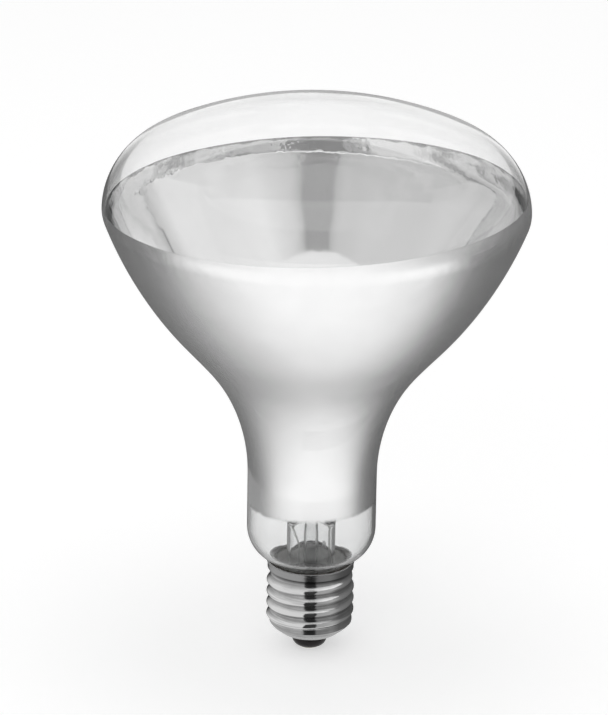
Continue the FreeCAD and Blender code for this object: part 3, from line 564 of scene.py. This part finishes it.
def cap_material(name):
    """Nickel-plated sheet: bright crests, dull roots in painted shade, rolling marks, and painted shade
    under a dull band.
    """
    wear, mark_tone, corner_shade_tone, band_tone, band_gloss = 0.5, 0.22, 0.08, 0.38, 0.22
    material, tree = blank_material(name)
    place = place_on(tree)
    flat = vectors(tree, "MULTIPLY", place, (1.0, 1.0, 0.0))["Vector"]
    radius = vectors(tree, "LENGTH", flat)["Value"]
    lifted = span(tree, radius, THREAD_ROOT * MM, THREAD_CREST * MM)
    wear_and_root_shade = number(tree, "MULTIPLY_ADD", noise(tree, place, scale=300.0, detail=5.0), wear, lifted)
    # Painted shade: the tone darkens from the crests into the thread's roots, with random wear on top
    tone = ramp(tree, wear_and_root_shade, (0.15, 0.42), (0.9, 0.86))
    gloss = ramp(tree, wear_and_root_shade, (0.2, 0.15), (1.0, 0.07))
    marks = noise(tree, place, scale=520.0, stretch=(0.08, 0.08, 2.0))
    tone = mixed(tree, ramp(tree, marks, (0.36, 0.45), (0.5, 1.0)), mark_tone, tone)

    height = parts_of(tree, place)["Z"]
    # Painted shade: the tone turns dark in the corner under the band
    corner_shade = span(tree, height, (CAP_BAND_BOTTOM - CAP_CORNER_SHADE) * MM, CAP_BAND_BOTTOM * MM)
    band = span(tree, height, (CAP_LIP - CAP_BEAD) * MM, (CAP_LIP + CAP_BEAD) * MM)
    tone = mixed(tree, band, mixed(tree, corner_shade, tone, corner_shade_tone), band_tone)
    gloss = mixed(tree, band, gloss, band_gloss)
    grain = noise(tree, place, scale=900.0, stretch=(0.15, 0.15, 2.5))
    relief = bump(tree, grain, strength=0.3, distance=0.0001)
    body = add(tree, "ShaderNodeBsdfPrincipled", Metallic=1.0, Base_Color=tone, Roughness=gloss,
               Normal=relief)
    show(tree, body.outputs["BSDF"])
    return material


def black_glass_material(name):
    """Black glass with mottled colour and gloss."""
    material, tree = blank_material(name)
    place = place_on(tree)
    cloud = noise(tree, place, scale=220.0, detail=6.0)
    tone = ramp(tree, cloud, (0.3, (0.008, 0.006, 0.007)), (0.7, (0.02, 0.014, 0.015)))
    gloss = ramp(tree, cloud, (0.3, 0.25), (0.7, 0.4))
    relief = bump(tree, noise(tree, place, scale=880.0, detail=4.0), strength=0.2, distance=0.0002)
    body = add(tree, "ShaderNodeBsdfPrincipled", Base_Color=tone, Roughness=gloss, Normal=relief,
               Specular_IOR_Level=0.3)
    show(tree, body.outputs["BSDF"])
    return material


def cement_material(name):
    """Basing cement, pale in the cap and darkened by painted shade at its open top."""
    material, tree = blank_material(name)
    place = place_on(tree)
    cloud = noise(tree, place, scale=700.0, detail=6.0)
    height = parts_of(tree, place)["Z"]
    # Painted shade: the cement darkens towards its open top, in the gap between cap and glass
    painted_top_shade = span(tree, height, (CAP_HEIGHT - CEMENT_PALE_DROP) * MM, (CAP_HEIGHT - CEMENT_SHADE_DROP) * MM)
    pale = ramp(tree, cloud, (0.3, (0.62, 0.6, 0.58)), (0.7, (0.8, 0.79, 0.77)))
    dark = ramp(tree, cloud, (0.3, (0.035, 0.03, 0.028)), (0.7, (0.09, 0.08, 0.07)))
    relief = bump(tree, cloud, strength=0.6, distance=0.0002)
    body = add(tree, "ShaderNodeBsdfPrincipled", Base_Color=mixed(tree, painted_top_shade, pale, dark), Roughness=0.85,
               Normal=relief)
    show(tree, body.outputs["BSDF"])
    return material


def dress(piece, material, node):
    """Give a new piece its material, hang it on the root, and hide the solid of the frame that it stands
    for.
    """
    piece.data.materials.append(material)
    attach(piece, "root")
    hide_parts(node)


def redress(material, *nodes):
    """A better material on solids of the frame."""
    for node in nodes:
        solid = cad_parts[node]
        for slot in solid.material_slots:
            slot.material = material


# Pieces

def blown_bulb(name):
    """Glass bulb: both faces of the wall, joined under the seal."""
    outside = bulb_meridian(0.0, GLASS_SPACING)[:-1] + [(0.0, OVERALL_LENGTH)]
    inside = bulb_meridian(GLASS_WALL, GLASS_SPACING)[:-1] + [(0.0, OVERALL_LENGTH - GLASS_WALL)]
    return lathe(name, outside + inside[::-1])


def film_line(line, angle, rows):
    """The part of a meridian that the film covers at an angle: how far along its points are, and where."""
    length = lengths_along(line)
    lean = line[:, 0] * math.cos(angle) * FILM_SLOPE
    ends = [np.interp(0.0, line[:, 1] - lean - edge, length) for edge in (FILM_BOTTOM, FILM_TOP)]
    along = np.linspace(*ends, rows)
    return along, np.interp(along, length, line[:, 0]), np.interp(along, length, line[:, 1])


def roll_at(along, heights, angle):
    """How far the film's inner face rolls in near the rim, less and less towards the film's edge."""
    waver = 1.0 + sum(size * math.sin(count * angle) for count, size in ROLL_WAVES)
    share = np.clip(1.0 + (heights - RIM_HEIGHT) / (ROLL_DEPTH * waver), 0.0, 1.0)
    taper = np.clip((along[-1] - along) / ROLL_TAPER, 0.0, 1.0)
    return ROLL * ease(share) * ease(taper)


def silver_film(name, segments=192, rows=130):
    """Thin film on the inside of the bowl, cut off in a slanting plane at each end.

    Gives the piece and the number of faces on its back, which come first.
    """
    angles = [2 * math.pi * step / segments for step in range(segments)]
    points = []
    for inset in (FILM_OUTSIDE, FILM_INSIDE):
        line = np.array(bulb_meridian(inset, FINE_SPACING))
        columns = []
        for angle in angles:
            along, radii, heights = film_line(line, angle, rows)
            if inset == FILM_INSIDE:
                radii = radii - roll_at(along, heights, angle)
            columns.append((radii, heights))
        for row in range(rows):
            points += [turned((radii[row], heights[row]), angle)
                       for angle, (radii, heights) in zip(angles, columns)]
    inside = rows * segments
    last = (rows - 1) * segments
    back = grid_faces(rows, segments)
    faces = back + grid_faces(rows, segments, inside, flip=True)
    faces += band_faces(0, inside, segments, flip=True)
    faces += band_faces(last, inside + last, segments)
    return new_mesh(name, points, faces), len(back)


def cap_profile():
    """The cap's section: up the outside from the hole in its foot, over the bead and down the inside."""
    foot, corner = (CAP_HOLE_RADIUS, CAP_BOTTOM), (THREAD_ROOT, CAP_DOME_TOP)
    dome_at = crossing(foot, CAP_DOME_RADIUS, corner, CAP_DOME_RADIUS, 1)
    start, end = direction(dome_at, foot), direction(dome_at, corner)
    dome_steps, thread_steps, flare_steps = 60, 130, 8
    rows = [foot]
    for share in shares(dome_steps):
        ring = CAP_RING_DEPTH * math.sin(math.pi * CAP_RINGS * share) ** 2
        rows.append(on_circle(dome_at, CAP_DOME_RADIUS + ring, start + (end - start) * share))
    rise = CAP_BAND_BOTTOM - CAP_DOME_TOP
    rows += [(THREAD_ROOT, CAP_DOME_TOP + rise * share) for share in shares(thread_steps)]
    for share in shares(flare_steps):
        rows.append((THREAD_ROOT + (CAP_RIM_RADIUS - THREAD_ROOT) * ease(share),
                     CAP_BAND_BOTTOM + (CAP_LIP - CAP_BAND_BOTTOM) * share))

    bead_radius = CAP_WALL / 2 + CAP_BEAD
    bead_at = (CAP_RIM_RADIUS - CAP_WALL / 2 + CAP_BEAD / 2, CAP_HEIGHT - bead_radius)
    rim_inside, thread_inside = CAP_RIM_RADIUS - CAP_WALL, THREAD_ROOT - CAP_WALL
    rows.append((CAP_RIM_RADIUS, bead_at[1] - 2 * bead_radius))
    rows += arc(bead_at, bead_radius, -math.pi / 3, math.pi, spacing=0.07)
    rows += [(rim_inside, bead_at[1] - bead_radius), (rim_inside, CAP_LIP)]
    rows += [(thread_inside, CAP_BAND_BOTTOM), (thread_inside, CAP_DOME_TOP)]
    dome = arc(dome_at, CAP_DOME_RADIUS, end, start, spacing=0.6)
    rows += [(radius, height + CAP_WALL) for radius, height in dome if radius < thread_inside]
    return rows


def thread_lift(radius, height, turn):
    """How far the rolled thread lifts the cap's outside. The thread's ends fade out."""
    if radius <= THREAD_ROOT - CAP_WALL / 2 or height >= CAP_BAND_BOTTOM + THREAD_RUN_OUT:
        return 0.0
    along = (height - THREAD_BOTTOM) / THREAD_PITCH - turn
    wave = 0.5 + 0.5 * math.cos(2 * math.pi * along)
    turns = round(along) + turn
    start = min(1.0, max(0.0, turns / THREAD_FADE + 0.5))
    end = min(1.0, max(0.0, (THREAD_TURNS - turns) / THREAD_FADE + 0.5))
    return (THREAD_CREST - THREAD_ROOT) * wave * start * end


def rolled_cap(name, columns=240):
    """Screw cap from thin sheet, with a thread rolled into it."""
    rows = cap_profile()
    points = []
    for radius, height in rows:
        for column in range(columns):
            turn = column / columns
            lift = thread_lift(radius, height, turn)
            points.append(turned((radius + lift, height), 2 * math.pi * turn))
    last = (len(rows) - 1) * columns
    return new_mesh(name, points, grid_faces(len(rows), columns) + band_faces(last, 0, columns))


def tungsten_coil(name):
    """Fine coil wound along an open ring whose gap faces the back."""
    gap = math.asin(FILAMENT_GAP / FILAMENT_RING)
    sweep = 2 * math.pi - 2 * gap
    turns = sweep * FILAMENT_RING / FILAMENT_PITCH
    count = int(turns * FILAMENT_STEPS_A_TURN)
    path = []
    for step in range(count + 1):
        angle = math.pi / 2 + gap + sweep * step / count
        wind = 2 * math.pi * step / FILAMENT_STEPS_A_TURN
        point = on_circle((FILAMENT_RING, FILAMENT_HEIGHT), FILAMENT_COIL_RADIUS, wind)
        path.append(turned(point, angle))
    return tube(name, path, FILAMENT_WIRE_RADIUS * MM, sides=6)


def pinched(angle, radius, press):
    """A point of a tube's section, part of the way from round to pinched flat."""
    reach = PINCH_HALF_WIDTH - PINCH_HALF_THICKNESS
    quarter = math.pi / 2
    turn = (angle + quarter / 2) % (2 * math.pi)
    side = int(turn // quarter)
    share = turn / quarter - side
    if side % 2 == 0:
        flat = on_circle((reach, 0.0), PINCH_HALF_THICKNESS, (share - 0.5) * math.pi)
    else:
        flat = (reach * (1 - 2 * share), PINCH_HALF_THICKNESS)
    sign = -1 if side > 1 else 1
    rounded = on_circle((0.0, 0.0), radius, angle)
    return [rounded[axis] * (1 - press) + sign * flat[axis] * press for axis in (0, 1)]


def pinched_stem(name, columns=96):
    """Glass tube with a trumpet foot, whose top is pressed flat while soft. Its bore ends in a dome."""
    trumpet = SEAL_RADIUS - GLASS_WALL - STEM_RADIUS
    trumpet_at = (STEM_RADIUS + trumpet, SEAL_BOTTOM + trumpet)
    foot_top = SEAL_BOTTOM - STEM_FOOT_GAP
    bore = STEM_RADIUS - STEM_WALL
    foot = [(SEAL_RADIUS, SEAL_BOTTOM - STEM_WALL), (SEAL_RADIUS, foot_top), (trumpet_at[0], foot_top)]
    foot += arc(trumpet_at, trumpet, -math.pi / 2, -math.pi, spacing=0.5)
    hollow = [(bore, STEM_TOP)]
    hollow += arc(trumpet_at, trumpet + STEM_WALL, -math.pi, -math.pi / 2, spacing=0.5)

    # Each row has a radius, a height, how far it is pinched and a share of its section
    steps = shares(count=24)
    outer = [(radius, height, 0.0, 1.0) for radius, height in foot]
    rise = PINCH_BOTTOM - STEM_TOP
    outer += [(STEM_RADIUS, STEM_TOP + rise * share, ease(share), 1.0) for share in steps]
    outer += [(STEM_RADIUS, PINCH_TOP - drop, 1.0, section) for drop, section in PINCH_EDGE]
    inner = []
    for share in reversed(steps):
        dome = math.sqrt(1.0 - (STEM_BORE_CLOSING * share) ** 2)
        inner.append((bore, STEM_TOP + (STEM_BORE_TOP - STEM_TOP) * share, 0.0, dome))
    inner += [(radius, height, 0.0, 1.0) for radius, height in hollow]

    points = []
    for radius, height, press, section in outer + inner:
        for column in range(columns):
            x, y = pinched(2 * math.pi * column / columns, radius, press)
            points.append((x * section * MM, y * section * MM, height * MM))
    inside = len(outer) * columns
    faces = grid_faces(len(outer), columns) + grid_faces(len(inner), columns, inside)
    faces.append(tuple(range(inside - columns, inside)))
    faces.append(tuple(reversed(range(inside, inside + columns))))
    faces += band_faces(len(points) - columns, 0, columns)
    return new_mesh(name, points, faces)


def moulded_insulator(name):
    """Dark glass cast into the cap's foot, with a bulge round the contact."""
    rim, edge = (CONTACT_RADIUS, INSULATOR_BOTTOM), (CAP_HOLE_RADIUS, CAP_BOTTOM)
    bulge_at = crossing(rim, INSULATOR_BULGE_RADIUS, edge, INSULATOR_BULGE_RADIUS, 1)
    start, end = direction(bulge_at, rim), direction(bulge_at, edge)
    profile = [(CONTACT_STEM_RADIUS, CONTACT_THICKNESS), (CONTACT_RADIUS, CONTACT_THICKNESS), rim]
    profile += arc(bulge_at, INSULATOR_BULGE_RADIUS, start, end, spacing=0.2)
    profile += [(CAP_HOLE_RADIUS, CAP_BOTTOM + CAP_WALL), (THREAD_ROOT - CAP_WALL, CAP_DOME_TOP)]
    profile += [(CONTACT_HOLE_RADIUS, INSULATOR_TOP), (CONTACT_HOLE_RADIUS, CONTACT_STEM_TOP)]
    profile += [(CONTACT_STEM_RADIUS, CONTACT_STEM_TOP)]
    return lathe(name, profile, segments=96)


def cement_ring(name):
    """Cement pressed up between the cap and the glass, with a hollow top."""
    top = CAP_HEIGHT - CEMENT_GLASS_DROP
    glass = [(radius, height) for radius, height in bulb_meridian(CEMENT_GRIP, FINE_SPACING)
             if CEMENT_BOTTOM < height < top and radius < CEMENT_WIDEST_GRIP]
    glass.insert(0, (glass[0][0], CEMENT_BOTTOM))
    inside, rim = THREAD_ROOT - CAP_WALL, CAP_RIM_RADIUS - CAP_WALL
    middle = (rim + glass[-1][0]) / 2
    profile = [(inside, CEMENT_BOTTOM), (inside, CAP_BAND_BOTTOM), (rim, CAP_LIP)]
    profile += [(rim, CAP_HEIGHT - CEMENT_RIM_DROP), (middle, CAP_HEIGHT - CEMENT_HOLLOW_DROP)]
    return lathe(name, profile + glass[::-1], segments=128)


# New pieces in the places of solids of the frame
bulb_glass = clear_glass("bulb_glass", ripple=0.15, neck_shade_tint=0.9)
dress(blown_bulb("blown_bulb"), bulb_glass, "glass_envelope")

film, film_back_faces = silver_film("silver_film")
silver_back = film_material("silver_back", smooth=0.22, rough=0.27, ripple=0.08, edge_tone=0.9)
dress(film, silver_back, "reflector_coating")
silver_face = film_material("silver_face", smooth=0.04, rough=0.08, ripple=0.25, edge_tone=0.4)
film.data.materials.append(silver_face)
for face in film.data.polygons:
    face.material_index = 0 if face.index < film_back_faces else 1

dress(rolled_cap("rolled_cap"), cap_material("nickel_plate"), "screw_cap")
tungsten = metal("tungsten", dark=(0.16, 0.16, 0.17), light=(0.30, 0.30, 0.32),
                 smooth=0.35, rough=0.55, scale=900.0)
dress(tungsten_coil("tungsten_coil"), tungsten, "filament_coil")
stem_glass = clear_glass("stem_glass", ripple=0.3, neck_shade_tint=0.965)
dress(pinched_stem("pinched_stem"), stem_glass, "stem_flare")
black_glass = black_glass_material("black_glass")
dress(moulded_insulator("moulded_insulator"), black_glass, "base_insulator")
dress(cement_ring("cement_ring"), cement_material("cement"), "basing_cement")

# Solids of the frame that keep their shape
nickel_wire = metal("nickel_wire", dark=(0.36, 0.36, 0.35), light=(0.62, 0.62, 0.60),
                    smooth=0.28, rough=0.45, scale=700.0)
copper = metal("copper_clad", dark=(0.45, 0.22, 0.13), light=(0.78, 0.42, 0.28),
               smooth=0.3, rough=0.5, scale=800.0)
solder = metal("soft_solder", dark=(0.50, 0.50, 0.51), light=(0.74, 0.74, 0.75),
               smooth=0.22, rough=0.42, scale=1200.0, relief=0.5)
brass = metal("tinned_brass", dark=(0.50, 0.47, 0.40), light=(0.72, 0.70, 0.66),
              smooth=0.2, rough=0.4, scale=900.0)
redress(stem_glass, "exhaust_tube", "support_rod")
redress(nickel_wire, "inner_lead_left", "inner_lead_right", "contact_lead", "rim_lead")
redress(copper, "seal_wire_left", "seal_wire_right")
redress(tungsten, *[f"support_hook_{index}" for index in range(1, 6)])
redress(solder, "contact_solder", "rim_solder")
redress(brass, "contact_eyelet")


# Stage: floor, cards that only the reflections see, and lamps

def plane(name, width, depth, matrix):
    """A flat sheet of the stage."""
    x, y = width / 2, depth / 2
    piece = new_mesh(name, [(-x, -y, 0), (x, -y, 0), (x, y, 0), (-x, y, 0)], [(0, 1, 2, 3)], smooth=False)
    piece.matrix_world = matrix
    return piece


def facing(place, target, axis="Z"):
    """A frame at a place in metres, one of whose axes looks at a target."""
    place, target = Vector(place), Vector(target)
    return Matrix.Translation(place) @ (target - place).to_track_quat(axis, "Y").to_matrix().to_4x4()


def floor_material(name):
    """A pale floor that takes the lamp's shadow, with a glow for the camera and for mirrors and glass."""
    material, tree = blank_material(name)
    path = tree.nodes.new("ShaderNodeLightPath").outputs
    shiny = number(tree, "MAXIMUM", path["Is Glossy Ray"], path["Is Transmission Ray"])
    seen = number(tree, "MAXIMUM", path["Is Camera Ray"], shiny)
    glow = add(tree, "ShaderNodeEmission", Color=colour_of(1.0), Strength=0.5)
    body = add(tree, "ShaderNodeBsdfDiffuse", Color=colour_of(0.8))
    both = tree.nodes.new("ShaderNodeAddShader")
    feed_in_order(tree, both, (glow.outputs["Emission"], body.outputs["BSDF"]))
    show(tree, shader_mix(tree, seen, body.outputs["BSDF"], both.outputs["Shader"]))
    return material


def reflection_only(piece, tone_of, reach=None):
    """A glowing tone that shows in reflections only, and with a reach only in those of near bare metal."""
    material, tree = blank_material(piece.name + "_tone")
    light = add(tree, "ShaderNodeEmission", Color=tone_of(tree))
    clear = tree.nodes.new("ShaderNodeBsdfTransparent")
    path = tree.nodes.new("ShaderNodeLightPath").outputs
    shown = path["Glossy Depth"]
    if reach is not None:
        bare = number(tree, "SUBTRACT", shown, path["Transmission Depth"], clamp=True)
        near = number(tree, "LESS_THAN", path["Ray Length"], reach)
        shown = number(tree, "MULTIPLY", bare, near)
    show(tree, shader_mix(tree, shown, clear.outputs["BSDF"], light.outputs["Emission"]))
    piece.data.materials.append(material)
    piece.visible_camera = False
    piece.visible_diffuse = False
    piece.visible_shadow = False


def card(name, width, height, place, target, level):
    """A card of one grey level that looks at a target."""
    reflection_only(plane(name, width, height, facing(place, target)), lambda tree: colour_of(level))


def surround(name, profile, stops, reach=None):
    """A round screen about the lamp, from a profile of radii and heights.

    Its tone goes by azimuth: 0 is the camera's side, + is to the right.
    """
    columns = 96
    angles = [2 * math.pi * step / columns for step in range(columns)]
    points = [(*on_circle((0.0, 0.0), radius, angle), height)
              for radius, height in profile for angle in angles]
    piece = new_mesh(name, points, grid_faces(len(profile), columns, flip=True), smooth=False)
    piece.matrix_world = Matrix.Translation((0, 0, FLOOR_LEVEL)) @ Matrix.Rotation(-math.pi / 2, 4, "Z")

    def tone_of(tree):
        turn = add(tree, "ShaderNodeTexGradient", Vector=place_on(tree))
        turn.gradient_type = "RADIAL"
        places = [((azimuth + 180.0) / 360.0, level) for azimuth, level in stops]
        return ramp(tree, turn.outputs["Fac"], *places)

    reflection_only(piece, tone_of, reach)


def paper(name, left, right):
    """A sheet on the floor. Its tone goes by the distance behind the axis, and sooner to the sides."""
    def tone_of(tree):
        parts = parts_of(tree, place_on(tree))
        aside = number(tree, "ABSOLUTE", parts["X"])
        behind = number(tree, "MULTIPLY_ADD", aside, PAPER_SPREAD, parts["Y"])
        share = span(tree, behind, -PAPER_REACH, PAPER_REACH)
        to_right = span(tree, parts["X"], -PAPER_MIDDLE, PAPER_MIDDLE)
        tones = []
        for stops in (left, right):
            places = [((far + PAPER_REACH) / (2 * PAPER_REACH), level) for far, level in stops]
            tones.append(ramp(tree, share, *places))
        return mixed(tree, to_right, *tones)

    sheet = plane(name, PAPER_SIZE, PAPER_SIZE, Matrix.Translation((0, 0, FLOOR_LEVEL + PAPER_LIFT)))
    reflection_only(sheet, tone_of)


def lamp(name, place, target, width, height, watts):
    """A soft box that lights the stage and doesn't show in reflections."""
    data = bpy.data.lights.new(name, "AREA")
    data.shape = "RECTANGLE"
    data.size = width
    data.size_y = height
    data.energy = watts
    light = bpy.data.objects.new(name, data)
    light.matrix_world = facing(place, target, "-Z")
    light.visible_glossy = False
    bpy.context.scene.collection.objects.link(light)


floor = plane("floor", FLOOR_SIZE, FLOOR_SIZE, Matrix.Translation((0, 0, FLOOR_LEVEL)))
floor.data.materials.append(floor_material("pale_floor"))

# What the lamp mirrors: paper that is white in front and grey behind, a screen with a dark gap on the
# camera's side, dark cards high and low at the back and a light above
paper("paper",
      left=[(-0.3, 1.16), (-0.1, 1.16), (-0.078, 1.07), (-0.045, 0.92), (-0.02, 0.8), (0.0, 0.63),
            (0.015, 0.54), (0.04, 0.375), (0.075, 0.275), (0.1, 0.235), (0.13, 0.215), (0.3, 0.18)],
      right=[(-0.3, 1.16), (-0.1, 1.15), (-0.07, 1.08), (-0.03, 0.96), (-0.01, 0.8), (0.01, 0.62),
             (0.025, 0.46), (0.045, 0.32), (0.066, 0.21), (0.1, 0.18), (0.2, 0.18), (0.3, 0.18)])
surround("screen_foot", [(SCREEN_RADIUS, 0.0), (SCREEN_RADIUS, SCREEN_FOOT_TOP)], [
    (-180.0, 1.1), (-168.0, 1.1), (-155.0, 0.3), (-140.0, 0.12), (-118.0, 0.2), (-96.0, 0.38),
    (-77.0, 0.55), (-32.0, 1.05), (-20.0, 1.15), (20.0, 1.15), (35.0, 1.0), (61.0, 0.62), (88.0, 0.38),
    (112.0, 0.22), (140.0, 0.22), (155.0, 0.4), (168.0, 1.1), (180.0, 1.1)])
surround("screen", [(SCREEN_RADIUS, SCREEN_FOOT_TOP), (SCREEN_RADIUS, SCREEN_TOP)], [
    (-180.0, 1.1), (-150.0, 0.95), (-130.0, 0.65), (-112.0, 0.6), (-100.0, 0.66), (-40.0, 0.68),
    (-18.0, 0.6), (-12.0, 0.5), (-10.0, 0.34), (9.0, 0.34), (12.0, 0.52), (18.0, 0.66), (40.0, 0.9),
    (104.0, 0.88), (120.0, 0.5), (136.0, 0.5), (155.0, 0.95), (180.0, 1.1)])
low_profile = [(LOW_SCREEN_HOLE, LOW_SCREEN_BOTTOM), (LOW_SCREEN_RADIUS, LOW_SCREEN_BOTTOM),
               (LOW_SCREEN_RADIUS, LOW_SCREEN_TOP)]
surround("low_screen", low_profile, [
    (-180.0, 0.04), (-145.0, 0.06), (-126.0, 0.55), (-100.0, 0.75), (-15.0, 0.72), (-13.0, 0.04),
    (13.0, 0.04), (15.0, 0.36), (50.0, 0.42), (75.0, 0.2), (140.0, 0.1), (180.0, 0.05)],
    reach=LOW_SCREEN_REACH)
card("high_card", width=1.5, height=0.44, place=(0, 0.6, 0.92), target=(0, 0, 0.92), level=0.27)
card("roof_card", width=1.4, height=0.4, place=(0.04, 0.45, 1.2), target=(0.04, 0.45, 0), level=0.32)
card("back_sill", width=1.4, height=0.12, place=(0, 0.78, 0.06), target=(0, 0, 0.06), level=0.55)
card("ceiling", width=1.8, height=1.8, place=(0, 0, 1.25), target=(0, 0, 0), level=0.9)

lamp("front_box", place=(-0.35, -1.5, 0.9), target=(0, 0, 0.1), width=1.4, height=1.0, watts=4.4)
lamp("top_box", place=(0.0, 0.1, 1.5), target=(0, 0, 0.1), width=1.4, height=1.4, watts=6.0)

world = bpy.data.worlds.new("studio")
bpy.context.scene.world = world
world.use_nodes = True
background = world.node_tree.nodes["Background"]
background.inputs["Color"].default_value = colour_of(1.0)
background.inputs["Strength"].default_value = WORLD_STRENGTH

# AUTO fits the sensor to the longer side of the picture, which is its height
camera_data = bpy.data.cameras.new("camera")
camera_data.sensor_width = SENSOR
camera_data.sensor_fit = "AUTO"
camera_data.lens = FOCAL_PIXELS / IMAGE_HEIGHT * SENSOR
camera = bpy.data.objects.new("camera", camera_data)
camera.matrix_world = (
    Matrix.Translation((CAMERA_SIDE * MM, -CAMERA_DISTANCE * MM, CAMERA_HEIGHT * MM))
    @ Matrix.Rotation(math.radians(90.0 - CAMERA_PITCH), 4, "X")
    @ Matrix.Rotation(math.radians(CAMERA_ROLL), 4, "Z"))
bpy.context.scene.collection.objects.link(camera)
bpy.context.scene.camera = camera
bpy.context.scene.view_settings.view_transform = "Standard"
